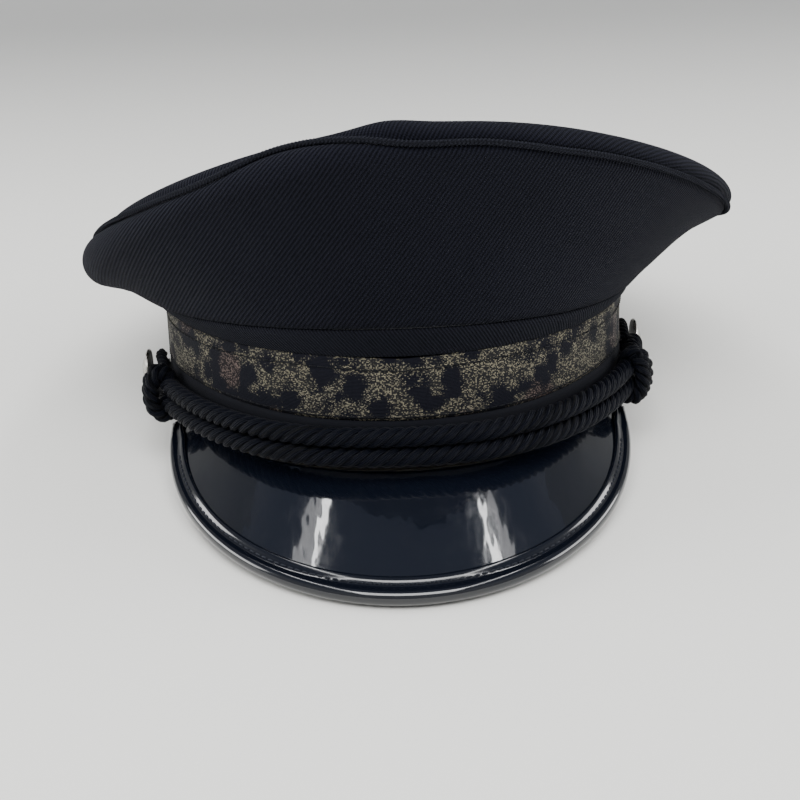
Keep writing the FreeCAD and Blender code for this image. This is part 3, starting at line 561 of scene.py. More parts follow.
def pressed(name, color, size=1.5, rough=0.9):
    """Foam, felt, buckram or board: mottled and matt."""
    n = Nodes(name)
    place = n.place()
    grain = n.noise(place, size, 4, 0.7)
    tone = n.mix(grain, tuple(channel * 0.65 for channel in color), color)
    return n.finish(Base_Color=tone, Roughness=rough, Normal=n.bump(grain, 0.25))


def clear_vinyl(name):
    n = Nodes(name)
    ripple = n.noise(n.place(), 6, 2)
    return n.finish(
        Base_Color=(0.85, 0.88, 0.90, 1), Roughness=n.plus(0.08, n.times(ripple, 0.12)),
        Transmission_Weight=0.9, IOR=1.45, Normal=n.bump(ripple, 0.3))


CROWN = twill("crown_twill", math.radians(-28), 1.3, (0.0006, 0.0007, 0.0016), (0.0078, 0.0083, 0.0140),
              0.5)
STRIP = twill("strip_twill", math.radians(40), 1.0, (0.0012, 0.0013, 0.0024), (0.0070, 0.0076, 0.0120))
PIPING = twill("piping_cloth", math.radians(35), 1.1, (0.0020, 0.0022, 0.0036), (0.0125, 0.0132, 0.0190))
BAND = jacquard("patterned_jacquard")
WELT = plain_weave("welt_cloth", (0.0012, 0.0016, 0.0036), (0.0024, 0.0029, 0.0060), 0.45, 0.8, 0.0, 0.06)
PATENT = patent("patent_leather", (0.0024, 0.0034, 0.0066), 0.22)
BINDING = patent("patent_binding", (0.0022, 0.0030, 0.0058), 0.05, 0.45, 0.14)
VISOR_LINING = leather("visor_lining", (0.008, 0.008, 0.010), 1.0, 0.55)
SWEATBAND = leather("sweatband_leather", (0.014, 0.012, 0.011), 1.3, 0.5)
LINING = plain_weave("lining_satin", (0.008, 0.008, 0.013), (0.014, 0.014, 0.021), 0.5, 0.42, 0.03, 0.05)
TAB = plain_weave("tab_cloth", (0.55, 0.53, 0.49), (0.64, 0.62, 0.58), 0.6, 0.85, 0.05, 0.08)
ROPE = satin_rope("satin_rope")
THREAD = plain_weave("dark_thread", (0.0015, 0.002, 0.004), (0.003, 0.0035, 0.006), 0.3, 0.6, 0.01, 0.05)
VISOR_THREAD = plain_weave("visor_thread", (0.010, 0.012, 0.019), (0.020, 0.023, 0.033), 0.3, 0.45, 0.02,
                           0.05)
PEWTER = metal("pewter", (0.44, 0.43, 0.40), 0.24)
DARK_METAL = metal("dark_metal", (0.075, 0.073, 0.070), 0.38)
STEEL = metal("spring_steel", (0.46, 0.47, 0.49), 0.28, 0.15, 0.15)
FOAM = pressed("foam", (0.085, 0.085, 0.095))
BUCKRAM = pressed("buckram", (0.50, 0.46, 0.38), 1.0)
BOARD = pressed("fibreboard", (0.13, 0.11, 0.09), 2.0)
VINYL = clear_vinyl("clear_vinyl")


# ------------------------------------------------------------------ crown

def rim_centre(angle, reach=1.0):
    """The rim wire's centre line at reach 1, and the saddle it spans at smaller reaches."""
    turn = np.radians(angle)
    saddle = np.maximum(reach ** 2 - CENTRE_REACH ** 2, 0) / (1 - CENTRE_REACH ** 2)
    height = (RIM_HEIGHT - SIDE_DROOP / 2 + reach * (FRONT_RISE * np.cos(turn) + LEAN * np.sin(turn))
              + saddle * SIDE_DROOP / 2 * np.cos(2 * turn))
    return np.stack([
        RIM_SHIFT[0] + reach * RIM_HALF_WIDTH * np.sin(turn),
        RIM_SHIFT[1] - reach * RIM_HALF_LENGTH * np.cos(turn),
        height], -1)


def roll_radius(angle):
    return ROLL_RADIUS - ROLL_TAPER * np.sin(np.radians(angle))


def on_roll(angle, turn, radius):
    """A point on the rolled rim: turn 0 faces outwards and 90 faces up."""
    around = np.radians(turn)
    way = np.cos(around)[..., None] * radial(angle) + np.sin(around)[..., None] * UP
    return rim_centre(angle) + radius[..., None] * way, way


def side_turn(angle):
    """Where the side panel meets the roll as a tangent from the band's top edge."""
    foot = oval(angle, 0, BAND_TOP)
    centre = rim_centre(angle)
    run = ((centre - foot) * radial(angle)).sum(-1)
    rise = centre[..., 2] - foot[..., 2]
    tangent = np.arcsin(np.minimum(roll_radius(angle) / np.hypot(run, rise), 0.98))
    return np.degrees(np.arctan2(rise, run) - tangent) - 90


def top_turn(angle):
    turn = np.radians(angle)
    rise = FRONT_RISE * np.cos(turn) + LEAN * np.sin(turn) + SIDE_DROOP * np.cos(2 * turn)
    return 90 + np.degrees(np.arctan2(rise, RIM_HALF_LENGTH))


# where the piped seam lies on the roll: pairs of (angle, turn), smooth between them
SEAM_LINE = ((-180, 30), (-120, 52), (-70, 64), (-45, 38), (-32, 40), (-21, 74), (-10, 50),
             (-2, 20), (9, 12), (22, -6), (40, -28), (66, -38), (110, -30), (150, 0), (180, 30))


def smooth_line(angle, pairs):
    """A smooth periodic curve through the pairs."""
    knots = np.array(pairs, float)
    x, y = knots[:, 0], knots[:, 1]
    slope = np.gradient(y, x)
    slope[0] = slope[-1] = (y[1] - y[-2]) / (x[1] - x[-2] + 360)
    spot = (np.asarray(angle, float) + 180) % 360 - 180
    index = np.clip(np.searchsorted(x, spot, side="right") - 1, 0, len(x) - 2)
    width = x[index + 1] - x[index]
    part = (spot - x[index]) / width
    cube, square = part ** 3, part ** 2
    return ((2 * cube - 3 * square + 1) * y[index] + (cube - 2 * square + part) * width * slope[index]
            + (3 * square - 2 * cube) * y[index + 1] + (cube - square) * width * slope[index + 1])


def seam_turn(angle):
    return np.maximum(smooth_line(angle, SEAM_LINE), side_turn(angle) + 16)


def strip_height(angle):
    return STRIP_LOW + STRIP_RISE * np.cos(np.radians(angle)) ** 2


def strip_share(angle):
    """The share of the side's slant that the lower strip takes up."""
    height = strip_height(angle)
    foot = oval(angle, 0, BAND_TOP)
    head, _ = on_roll(angle, side_turn(angle), roll_radius(angle))
    return np.minimum(height / np.linalg.norm(head - foot, axis=-1), 0.45)


def side_surface(angle, part, inset):
    """The slanting side, from the band's top edge at part 0 to the roll at part 1."""
    turn = side_turn(angle)
    head, way = on_roll(angle, turn, roll_radius(angle) - inset)
    foot = oval(angle, 0, BAND_TOP + 0.2) - inset[..., None] * way
    return foot + part[..., None] * (head - foot)


def crown_unevenness(angle, up):
    """Slight dents and pulls in the cloth, in mm."""
    return 0.35 * smooth_noise(angle * 1.9, up, 62, 3) + 0.10 * smooth_noise(angle * 1.9, up, 21, 4)


def seam_tuck(from_seam):
    """How far the cloth dives in beside the piping, `from_seam` millimetres away from it."""
    return 0.75 * np.exp(-(from_seam / 1.5) ** 2)


def side_hollow(angle):
    """How far the cloth of the overhanging side pulls in at its middle, in mm."""
    return 2.3 * bump_at(angle, 84, 26)


def side_panel(name, first, last, columns):
    """Cloth from the strip's seam up the side and round the roll to the piping."""
    angle = np.linspace(first, last, columns)[None, :]
    rise_rows, roll_rows = 34, 22
    low_turn, high_turn = side_turn(angle), seam_turn(angle)
    gap = np.degrees(SEAM_GAP / roll_radius(angle))
    start = strip_share(angle) + 0.004
    feet = side_surface(angle, 0 * angle, 0 * angle)[0]
    heads = side_surface(angle, 0 * angle + 1, 0 * angle)[0]
    slant = np.linalg.norm(heads - feet, axis=-1)
    flat_feet, flat_heads = unrolled(feet, heads)
    flat_way = (flat_heads - flat_feet) / slant[:, None]
    grids, cloth = [], []
    for depth in (0.0, CLOTH):
        rows = []
        for row in range(rise_rows):
            part = start + (1 - start) * row / rise_rows + 0 * angle
            tuck = 0.9 * np.exp(-((part - start) * slant / 1.3) ** 2)
            middle = np.sin(math.pi * np.clip(part, 0, 1))
            inset = depth + tuck - (crown_unevenness(angle, part * 110) - side_hollow(angle)) * middle
            rows.append(side_surface(angle, part, inset))
            if depth == 0:
                cloth.append(flat_feet + flat_way * (part[0] * slant)[:, None])
        for row in range(roll_rows + 1):
            turn = low_turn + (high_turn - gap - low_turn) * row / roll_rows
            from_seam = np.radians(high_turn - gap - turn) * roll_radius(angle)
            point, _ = on_roll(angle, turn, roll_radius(angle) - depth - seam_tuck(from_seam))
            rows.append(point)
            if depth == 0:
                over = np.radians(turn - low_turn)[0] * roll_radius(angle)[0]
                cloth.append(flat_heads + flat_way * over[:, None])
        grids.append(np.concatenate(rows, axis=0))
    flat = np.stack(cloth)
    panel = shell_piece(name + "_cloth", grids, CROWN, name,
                        np.concatenate([flat, 0 * flat[..., :1]], axis=-1))


def on_saddle(angle, reach, above):
    """A point of the crown's top, `above` its face: reach is 1 at the rim wire and 0 at the centre."""
    lean = np.clip((reach - CENTRE_REACH) / (1 - CENTRE_REACH), 0, 1) * np.cos(np.radians(top_turn(angle)))
    lift = ROLL_RADIUS - ROLL_TAPER * np.sin(np.radians(angle)) * reach + above
    sag = -1.6 * (1 - reach ** 2) * (1 - 0.5 * reach)
    way = lean[..., None] * radial(angle) + np.sqrt(1 - lean ** 2)[..., None] * UP
    return rim_centre(angle, reach) + (lift + sag)[..., None] * way


def top_panel():
    """The oval disc: it comes up out of the piping, over the roll, and spans the rim as a saddle."""
    angle = np.linspace(-180, 180, 361)[None, :]
    roll_rows, disc_rows = 16, 40
    low, high = seam_turn(angle), top_turn(angle)
    gap = np.degrees(SEAM_GAP / roll_radius(angle))
    puff = 1.9 * bump_at(angle, -5.0, 5.5) + 1.4 * bump_at(angle, -52, 24) + 1.3 * bump_at(angle, 58, 22)
    grids = []
    for depth in (0.0, CLOTH):
        rows = []
        for row in range(roll_rows):
            part = row / roll_rows
            turn = low + gap + (high - low - gap) * part
            from_seam = np.radians(turn - low - gap) * roll_radius(angle)
            swell = puff * math.sin(math.pi * min(1.0, part + 0.12) * 0.75)
            swell = swell * (1 - np.exp(-(from_seam / 2) ** 2))
            point, _ = on_roll(angle, turn, roll_radius(angle) - depth - seam_tuck(from_seam) + swell)
            rows.append(point)
        for row in range(disc_rows + 1):
            share = row / disc_rows
            reach = 1 - share * (1 - 0.004)
            swell = 1.4 * puff * math.sin(math.pi * 0.25 * max(0.0, 1 - 4 * share)) ** 2
            dent = crown_unevenness(angle, 90 + 120 * reach) * reach * share * 2.2
            rows.append(on_saddle(angle, reach, swell + dent - depth))
        grids.append(np.concatenate(rows, axis=0))
    inwards = np.linalg.norm(np.diff(grids[0], axis=0), axis=2)[::-1]
    radius = np.concatenate([0 * inwards[:1], np.cumsum(inwards, axis=0)])[::-1]
    cloth = radius[..., None] * radial(angle)
    panel = shell_piece("crown_top_panel_cloth", grids, CROWN, "crown_top_panel", cloth)


def lower_strip():
    """The narrow strip of crossed twill between the panels and the band."""
    angle = np.linspace(-180, 180, 361)[None, :]

    def row_at(depth, share):
        tuck = 0.7 * np.exp(-((1 - share) * strip_height(angle) / 0.9) ** 2)
        tuck = tuck - 0.25 * np.sin(math.pi * share)
        return side_surface(angle, (strip_share(angle) - 0.004) * share, depth + tuck + 0 * angle)

    grids = sheet_grids((0.0, CLOTH), np.linspace(0, 1, 13), row_at)
    strip = shell_piece("crown_lower_strip_cloth", grids, STRIP, "crown_lower_strip")
    distances(grids[0][6])[-1]


def ring_angles(steps):
    """Angles all the way round, without the last that repeats the first."""
    return np.linspace(-180, 180, steps + 1)[:-1]


def closed_tube(path, radius, sides=10, lobes=0, lay=6.0, depth=0.0):
    """A tube round a closed path, with optional diagonal ribs."""
    ahead = np.roll(path, -1, axis=0) - np.roll(path, 1, axis=0)
    tangent = ahead / np.linalg.norm(ahead, axis=1, keepdims=True)
    side = np.cross(tangent, UP)
    side /= np.linalg.norm(side, axis=1, keepdims=True)
    second = np.cross(tangent, side)
    step = distances(path)
    total = step[-1] + np.linalg.norm(path[0] - path[-1])
    turns = round(total / lay)
    around = np.linspace(0, 2 * math.pi, sides, endpoint=False)
    phase = lobes * (around[None, :] - 2 * math.pi * turns * step[:, None] / total)
    size = np.reshape(radius, (-1, 1)) + depth * (np.cos(phase) - 1)
    ring = side[:, None] * np.cos(around)[None, :, None] + second[:, None] * np.sin(around)[None, :, None]
    points = (path[:, None] + ring * size[..., None]).reshape(-1, 3)
    count = len(path)
    faces = grid_faces(count, sides, wrap=True)
    last = (count - 1) * sides
    for column in range(sides):
        beside = (column + 1) % sides
        faces.append((last + column, last + beside, beside, column))
    return points, faces, tube_cloth(step, around)


def crown_piping():
    """Bias piping in the seam, with the fine slanting ribs of its cloth."""
    def line(angle):
        point, _ = on_roll(angle, seam_turn(angle), roll_radius(angle) + 0.05)
        return point

    points, faces, cloth = closed_tube(line(ring_angles(1900)), PIPING_RADIUS, 12, 2, 2.6, 0.13)
    cloth = cloth * np.array([1, PIPING_RADIUS, 1])
    new_piece("crown_piping_cord", points, faces, CAP, PIPING, "crown_piping", cloth)


def rim_padding():
    """The foam roll on the rim wire, which fills the cloth out all the way round."""
    angle = ring_angles(360)
    radius = roll_radius(angle) - CLOTH - 0.8
    points, faces, cloth = closed_tube(rim_centre(angle), radius, 20)
    roll = new_piece("rim_foam_roll", points, faces, CAP, FOAM, "crown_rim_roll", cloth)


def front_padding():
    """The pad that holds the front up: thickest in the middle, thin at its edges."""
    angle = np.linspace(-PAD_ANGLE, PAD_ANGLE, 81)[None, :]
    edge = np.clip((PAD_ANGLE - np.abs(angle)) / 6, 0, 1)

    def row_at(thick, share):
        fill = 0.25 + 1.35 * np.sqrt(edge) * min(1.0, 8 * min(share, 1 - share) + 0.05) ** 0.5
        part = 0.06 + 0.84 * share + 0 * angle
        return side_surface(angle, part, CLOTH + 0.4 + side_hollow(angle) + thick * fill)

    grids = sheet_grids((0.0, 1.0), np.linspace(0, 1, 25), row_at)
    pad = shell_piece("front_foam_pad", grids, FOAM, "crown_front_pad")


# ------------------------------------------------------------------ band

def band_top_line(angle):
    """The band's top edge dips to a slight point at the centre of the front."""
    return BAND_TOP + 0.6 * bump_at(np.abs(angle), 26, 12) - 0.8 * np.maximum(0, 1 - np.abs(angle) / 13)


def welt_top_line(angle):
    """The plain welt is narrow in front and shows more at the sides."""
    return WELT_TOP + 2.6 * bump_at(np.abs(angle), 58, 24) + 1.0 * bump_at(np.abs(angle), 180, 60)


def layered_ring(name, replaced, material, low, high, outside, wall, rows=10, ripple=0.0):
    """A standing strip of cloth round the head with softly rounded edges."""
    angle = np.linspace(-180, 180, 481)[None, :]

    def row_at(depth, share):
        height = low(angle) + (high(angle) - low(angle)) * share
        edge = np.minimum(height - low(angle), high(angle) - height)
        rounding = 0.45 * np.exp(-(edge / 0.5) ** 2) * (1 if depth == 0 else -1) * min(1, wall)
        wave = ripple * smooth_noise(angle * 1.75, height, 24, 11)
        point = oval(angle, 0, 0) * LEVEL + height[..., None] * UP
        return point + (outside - depth - rounding + wave)[..., None] * radial(angle)

    grids = sheet_grids((0.0, wall), np.linspace(0, 1, rows + 1), row_at)
    ring = shell_piece(name, grids, material, replaced)
    around = distances(grids[0][rows // 2])[-1]


def stitches(name, line, length, gap, radius, material, closed_range=(-180, 180), sink=0.35):
    """Short thread capsules along a line; line(angle) gives points and outward normals."""
    angle = np.linspace(*closed_range, 1441)
    points, normals = line(angle)
    step = distances(points)
    count = int(step[-1] / (length + gap))
    parts = []
    for index in range(count):
        start = (index + 0.5) * step[-1] / count - length / 2
        along = start + length * np.linspace(0, 1, 6)
        path = at_distances(points, along)
        normal = np.stack([np.interp(along, step, normals[:, axis]) for axis in range(3)], -1)
        lift = np.sin(math.pi * np.linspace(0, 1, 6))[:, None] * radius * 1.3 - radius * sink
        parts.append(tube_mesh(path + normal * lift, radius, 6))
    mesh, faces, cloth = joined(parts)
    new_piece(name, mesh, faces, CAP, material, None, cloth)


def band_line(height):
    def line(angle):
        offset = oval(angle, 0, 0) * LEVEL + height(angle)[..., None] * UP
        return offset + 0.05 * radial(angle), radial(angle)
    return line


# ------------------------------------------------------------------ visor

def visor_frame(turn):
    """Root point, edge point, unit vector down the visor and unit vector out of its upper face."""
    def edge_at(angle):
        around = np.radians(angle)
        fall = np.maximum(np.cos(around), 0) ** VISOR_POWER
        return np.stack([
            VISOR_HALF_WIDTH * np.sin(around),
            -(VISOR_END_Y + (VISOR_FRONT_Y - VISOR_END_Y) * np.cos(around)),
            -VISOR_END_DROP - (VISOR_DROP - VISOR_END_DROP) * fall], -1)

    end_angle = math.degrees(math.acos(VISOR_END_Y / HALF_LENGTH))
    root = oval(turn * end_angle / 90, -3.3, -VISOR_HALF - 0.3)
    edge = edge_at(turn)
    reach = edge - root
    down = reach / np.linalg.norm(reach, axis=-1, keepdims=True)
    inwards = np.where(turn < 0, 1.0, -1.0)
    along = (edge_at(turn + inwards) - edge) * inwards[..., None]
    face = np.cross(down, along)
    face /= np.linalg.norm(face, axis=-1, keepdims=True)
    return root, edge, down, face


def visor_turns(count):
    return 90 * np.sin(np.radians(np.linspace(-90, 90, count)))


def visor_layer(name, replaced, material, top, bottom):
    """A skin of the visor, which stops inside the rolled edge."""
    root, edge, down, face = visor_frame(visor_turns(181))
    far = edge - SKIN_BACK * down

    def row_at(height, share):
        belly = -0.45 * math.sin(math.pi * share)
        return (root + share * (far - root) + (height + belly) * face)[None]

    grids = sheet_grids((top, bottom), np.linspace(1, 0, 25), row_at)
    shell_piece(name, grids, material, replaced)


# the rolled edge's section, outside then inside: (back from the edge, height over the middle)
def binding_section():
    bead = [(2.9 - 2.9 * math.cos(math.radians(a)), 3.05 * math.sin(math.radians(a)))
            for a in range(0, 136, 12)]
    top = bead + [(5.6, 2.25), (6.2, 2.2), (7.4, 2.55), (8.6, 2.75), (9.2, 2.55), (9.5, 2.1), (9.5, 1.95)]
    inner = [(9.2, 1.9), (7.0, 1.85), (4.0, 1.8), (2.6, 1.2), (2.4, 0.0)]
    half = top + inner
    return [(back, height) for back, height in half] + [(back, -height) for back, height in half[-2:0:-1]]


def visor_binding():
    turn = visor_turns(241)
    root, edge, down, face = visor_frame(turn)
    length = np.linalg.norm(edge - root, axis=-1)
    shrink = np.minimum(1.0, 0.62 * length / BINDING_WIDTH)
    rows = []
    for back, height in binding_section():
        pull = back * np.where(back > 3, shrink, 1.0)
        rows.append(edge - pull[..., None] * down + height * face)
    grid = np.stack(rows)
    sections, columns = grid.shape[:2]
    faces = []
    for row in range(sections):
        after = (row + 1) % sections
        for column in range(columns - 1):
            a, b = row * columns + column, row * columns + column + 1
            c, d = after * columns + column + 1, after * columns + column
            faces.append((a, d, c, b))
    for column, flip in ((0, False), (columns - 1, True)):
        loop = [row * columns + column for row in range(sections)]
        faces.append(tuple(loop[::-1] if flip else loop))
    cloth = cloth_measure(grid).reshape(-1, 3)
    new_piece("visor_rolled_edge", grid.reshape(-1, 3), faces, CAP, BINDING, "visor_edge_binding", cloth)


def visor_stitch_line(angle):
    _, edge, down, face = visor_frame(angle)
    return edge - 6.3 * down + 2.3 * face, face


# ------------------------------------------------------------------ ropes

CORD_TURN = math.radians(CORD_TILT)


def cord_frame(points):
    """Points of the cords' plane (x, y, height over it) in the band frame."""
    x, y, z = np.asarray(points, float).T
    return np.stack([x, y * math.cos(CORD_TURN) - z * math.sin(CORD_TURN),
                     y * math.sin(CORD_TURN) + z * math.cos(CORD_TURN) + CORD_HEIGHT], -1)


def spline_points(name, route, steps=24):
    """Points read from the NURBS line whose control points are the route."""
    curve = bpy.data.curves.new(name, "CURVE")
    curve.dimensions = "3D"
    spline = curve.splines.new("NURBS")
    spline.points.add(len(route) - 1)
    for point, place in zip(spline.points, route):
        point.co = (*place, 1)
    spline.order_u = 3
    spline.use_endpoint_u = True
    spline.resolution_u = steps
    holder = bpy.data.objects.new(name, curve)
    mesh = bpy.data.meshes.new_from_object(holder)
    points = np.array([vertex.co[:] for vertex in mesh.vertices])
    bpy.data.objects.remove(holder)
    bpy.data.curves.remove(curve)
    bpy.data.meshes.remove(mesh)
    return points


def evenly(points, spacing):
    """Points evenly spaced along a path, with their distances along it."""
    total = distances(points)[-1]
    along = np.linspace(0, total, max(2, int(total / spacing)))
    return at_distances(points, along), along


def twisted_rope(path, radius, strands=4, pitch=18.0, sides=10, phase=0.0, squeeze=None):
    """Strands laid round a path. squeeze(distance along it) can shrink the rope locally."""
    points, along = evenly(path, 0.8)
    first, second = transported(points)
    strand = radius * 0.40
    size = np.ones(len(points)) if squeeze is None else squeeze(along)
    parts = []
    for index in range(strands):
        turn = phase + 2 * math.pi * (index / strands - along / pitch)
        offset = first * np.cos(turn)[:, None] + second * np.sin(turn)[:, None]
        line = points + offset * ((radius - strand) * size)[:, None]
        parts.append(tube_mesh(line, strand * size, sides))
    parts.append(tube_mesh(points, radius * 0.42 * size, 6))
    return joined(parts), points


# a rope's route round the cap: x and y in the cords' plane, on the right-hand side
FRONT_HALF = ((9, -110.2), (27, -107.6), (45, -99.6), (60, -87.6), (73, -72.2), (83, -55.4), (90.4, -37.6))


def side_sign(side):
    return -1 if side == "left" else 1


def post_spot(side):
    """A button post's place in the cords' plane."""
    y = POST_Y[side]
    wall = HALF_WIDTH * math.sqrt(1 - (y / HALF_LENGTH) ** 2)
    return side_sign(side) * (wall + POST_STAND), y


def declare_cord(path):
    """Works out the length of the rope's centreline, turned from the band frame into the row frame, and
    keeps nothing.
    """
    path_m = rest(path)
    round(float(distances(path_m)[-1]), 3)


def declared_rope(name, route, radius, replaced, strands=4, pitch=18.0, squeeze=None):
    """A twisted rope along the spline of a route given in the cords' plane."""
    line = spline_points(name + "_line", rest(cord_frame(route)))
    millimetres = (line - BAND_ORIGIN) @ BAND_TURN.T / MM
    (points, faces, cloth), path = twisted_rope(millimetres, radius, strands, pitch, squeeze=squeeze)
    rope = new_piece(name, points, faces, CORDS, ROPE, replaced, cloth)
    declare_cord(path)


def chin_ropes():
    """Two ropes side by side round the front, from inside one knot to inside the other."""
    for name, sign in (("upper", 1), ("lower", -1)):
        height = sign * CORD_SPACING / 2
        left_end = [(-90.2, -37.4, height), (-92.6, -29.0, height)]
        right_end = [(94.4, -22.0, height), (96.2, -9.8, height)]
        front = [(-x, y, height) for x, y in FRONT_HALF[-2::-1]] + [(x, y, height) for x, y in FRONT_HALF]
        declared_rope(name + "_chin_rope", left_end[::-1] + front + right_end, ROPE_RADIUS,
                      "chin_cord_" + name, squeeze=tapered_ends)


def tapered_ends(along):
    """Each rope is bound down to the loop's thickness at its ends."""
    from_end = np.minimum(along, along[-1] - along)
    return 0.62 + 0.38 * np.clip(from_end / 4.0, 0, 1) ** 0.7


def post_loop(side):
    """The thin bight that hooks over a button's post and leads back into the ends of both ropes."""
    x, y = post_spot(side)
    sign = math.copysign(1, x)
    lean = 1.6 if side == "right" else 3.4
    start = y - LOOP_LENGTH - 1.0
    run = [(x - sign * lean, start, 3.6), (x - sign * lean * 0.5, y - 7, 5.2), (x, y, 5.2)]
    bend = [(x, y + 5.2, 5.0), (x, y + 5.8, 0.0)]
    route = run + bend + [(x, y + 5.2, -5.0)] + [(px, py, -pz) for px, py, pz in run[::-1]]
    declared_rope(side + "_post_loop", route, LOOP_RADIUS, side + "_cord_loop", 3, 10.0)


def side_arc_point(side, angle):
    """A point of the cords' plane on a side arc, with its outward and forward directions."""
    sign = side_sign(side)
    turn = math.radians(angle)
    out = np.array([sign * math.cos(turn), -math.sin(turn), 0])
    forward = np.array([-sign * math.sin(turn), -math.cos(turn), 0])
    return np.array([-sign * SIDE_CENTRE, 0, 0]) + SIDE_RADIUS * out, out, forward


def slide_knot(side):
    """Turns of a thinner rope wound round both cords, flat against the band, with a short tail below."""
    spot, out, forward = side_arc_point(side, 22)
    sign = side_sign(side)
    share = np.linspace(0, 1, 260)
    around = 2 * math.pi * KNOT_TURNS * share * sign + math.radians(200 if side == "left" else -20)
    across = 5.3 * np.sign(np.cos(around)) * np.abs(np.cos(around)) ** 0.75
    across = np.maximum(across + 0.6, KNOT_INNER)
    up = 8.3 * np.sign(np.sin(around)) * np.abs(np.sin(around)) ** 0.85
    along = (share - 0.5) * 6.2
    path = spot + across[:, None] * out + along[:, None] * forward + up[:, None] * UP
    reach = distances(path)

    def near_band(distance):
        return 1 - 0.66 * bump_at(np.interp(distance, reach, across), KNOT_INNER, 2.4)

    (points, faces, cloth), line = twisted_rope(cord_frame(path), KNOT_ROPE_RADIUS, 3, 11.0, 8, 0.4,
                                                near_band)
    knot = new_piece(side + "_rope_knot", points, faces, side + "_knot", ROPE,
                     side + "_slide_knot", cloth)
    declare_cord(line)


# ------------------------------------------------------------------ buttons

def turned(profile, sides=64):
    """A turned solid about local X from (radius, x) pairs; the first and last lie on the axis."""
    profile = np.array(profile, float)
    around = np.linspace(0, 2 * math.pi, sides, endpoint=False)
    ring = np.stack([0 * around, np.cos(around), np.sin(around)], -1)
    rows = [profile[i, 0] * ring + np.array([profile[i, 1], 0, 0]) for i in range(1, len(profile) - 1)]
    return poled(rows, [profile[0, 1], 0, 0], [profile[-1, 1], 0, 0])


def poled(rows, first, last):
    """A closed round mesh: rings of points between two poles."""
    sides = len(rows[0])
    points = np.concatenate(rows + [[first], [last]])
    faces = grid_faces(len(rows), sides, wrap=True)
    start = (len(rows) - 1) * sides
    for column in range(sides):
        beside = (column + 1) % sides
        faces.append((len(points) - 2, beside, column))
        faces.append((len(points) - 1, start + column, start + beside))
    return points, faces


def button(side):
    """A domed shell with a raised rim and a ring of beads round a plain centre, 0.05 mm off its back."""
    sign = side_sign(side)
    low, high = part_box(side + "_button_back")
    back_x = high.x if sign < 0 else low.x
    back = (np.array([back_x, (low.y + high.y) / 2, (low.z + high.z) / 2]) - BAND_ORIGIN) @ BAND_TURN.T / MM
    radius = BUTTON_RADIUS
    dome = radius - 1.5
    profile = [(0, 0.55), (radius - 1.2, 0.55), (radius - 0.9, 0.0), (radius - 0.25, 0.05), (radius, 0.45)]
    profile += [(radius, 0.85), (radius - 0.25, 1.25), (radius - 0.8, 1.35), (radius - 1.15, 1.1)]
    profile += [(dome, 1.2)]
    for step in range(1, 12):
        across = dome * (1 - step / 12)
        profile.append((across, 1.2 + 2.2 * (1 - (across / dome) ** 2) ** 0.9))
    profile.append((0, 3.42))
    points, faces = turned(profile)
    points = points * np.array([sign, 1, 1])
    if sign < 0:
        faces = [face[::-1] for face in faces]
    back = back + np.array([sign * 0.05, 0, 0])
    new_piece(side + "_domed_shell", points + back, faces, side + "_button", PEWTER,
              side + "_button_shell", points)
    beads = []
    for index in range(BEADS):
        way = 2 * math.pi * index / BEADS
        spot = np.array([sign * 1.25, (radius - 1.15) * math.cos(way), (radius - 1.15) * math.sin(way)])
        beads.append(ball(spot + back, 0.36))
    mesh, bead_faces, bead_cloth = joined(beads)
    new_piece(side + "_bead_ring", mesh, bead_faces, side + "_button", PEWTER, None, bead_cloth)


def ball(centre, radius, rings=6, sides=10):
    rows = []
    for ring in range(1, rings):
        polar = math.pi * ring / rings
        around = np.linspace(0, 2 * math.pi, sides, endpoint=False)
        rows.append(np.stack([np.cos(around) * math.sin(polar), np.sin(around) * math.sin(polar),
                              math.cos(polar) + 0 * around], -1))
    points, faces = poled(rows, [0, 0, 1], [0, 0, -1])
    points = points * radius + centre
    return points, [face[::-1] for face in faces], points


# ------------------------------------------------------------------ inside

def side_lining():
    """The gathered lining between the sweatband and the top."""
    angle = np.linspace(-180, 180, 541)[None, :]

    def row_at(depth, share):
        foot = oval(angle, -6.4 - depth, BAND_TOP - 3)
        head = rim_centre(angle) - (roll_radius(angle) + 2.5 + depth)[..., None] * radial(angle)
        pleat = 0.7 * np.sin(np.radians(angle) * 46) * np.exp(-share * 5) * min(1, share * 9)
        loose = 0.8 * smooth_noise(angle * 1.6, share * 90, 30, 21) * math.sin(math.pi * share)
        inwards = (0.6 + pleat + loose) * math.sin(math.pi * share) ** 0.3
        return foot + share * (head - foot) - inwards[..., None] * radial(angle)

    grids = sheet_grids((0.0, 0.6), np.linspace(0, 1, 22), row_at)
    lining = shell_piece("side_lining_cloth", grids, LINING, "lining_side")


def top_sheet(name, replaced, material, far, drop, wall, ripple):
    """A disc parallel to the top panel, `drop` millimetres under its face."""
    angle = np.linspace(-180, 180, 241)[None, :]

    def row_at(depth, share):
        reach = far * (1 - share * 0.992) + 0 * angle
        across, along = reach * 100 * np.sin(np.radians(angle)), reach * 100 * np.cos(np.radians(angle))
        return on_saddle(angle, reach, ripple * smooth_noise(across, along, 36, 31) - drop - depth)

    grids = sheet_grids((0.0, wall), np.linspace(0, 1, 30), row_at)
    disc = shell_piece(name, grids, material, replaced, grids[0] * LEVEL)


# ------------------------------------------------------------------ build

def build_crown():
    side_panel("crown_front_panel", -80, 80, 321)
    side_panel("crown_rear_left_panel", -179.75, -80.35, 181)
    side_panel("crown_rear_right_panel", 80.35, 179.75, 181)
    top_panel()
    lower_strip()
    crown_piping()
    rim_padding()
    front_padding()


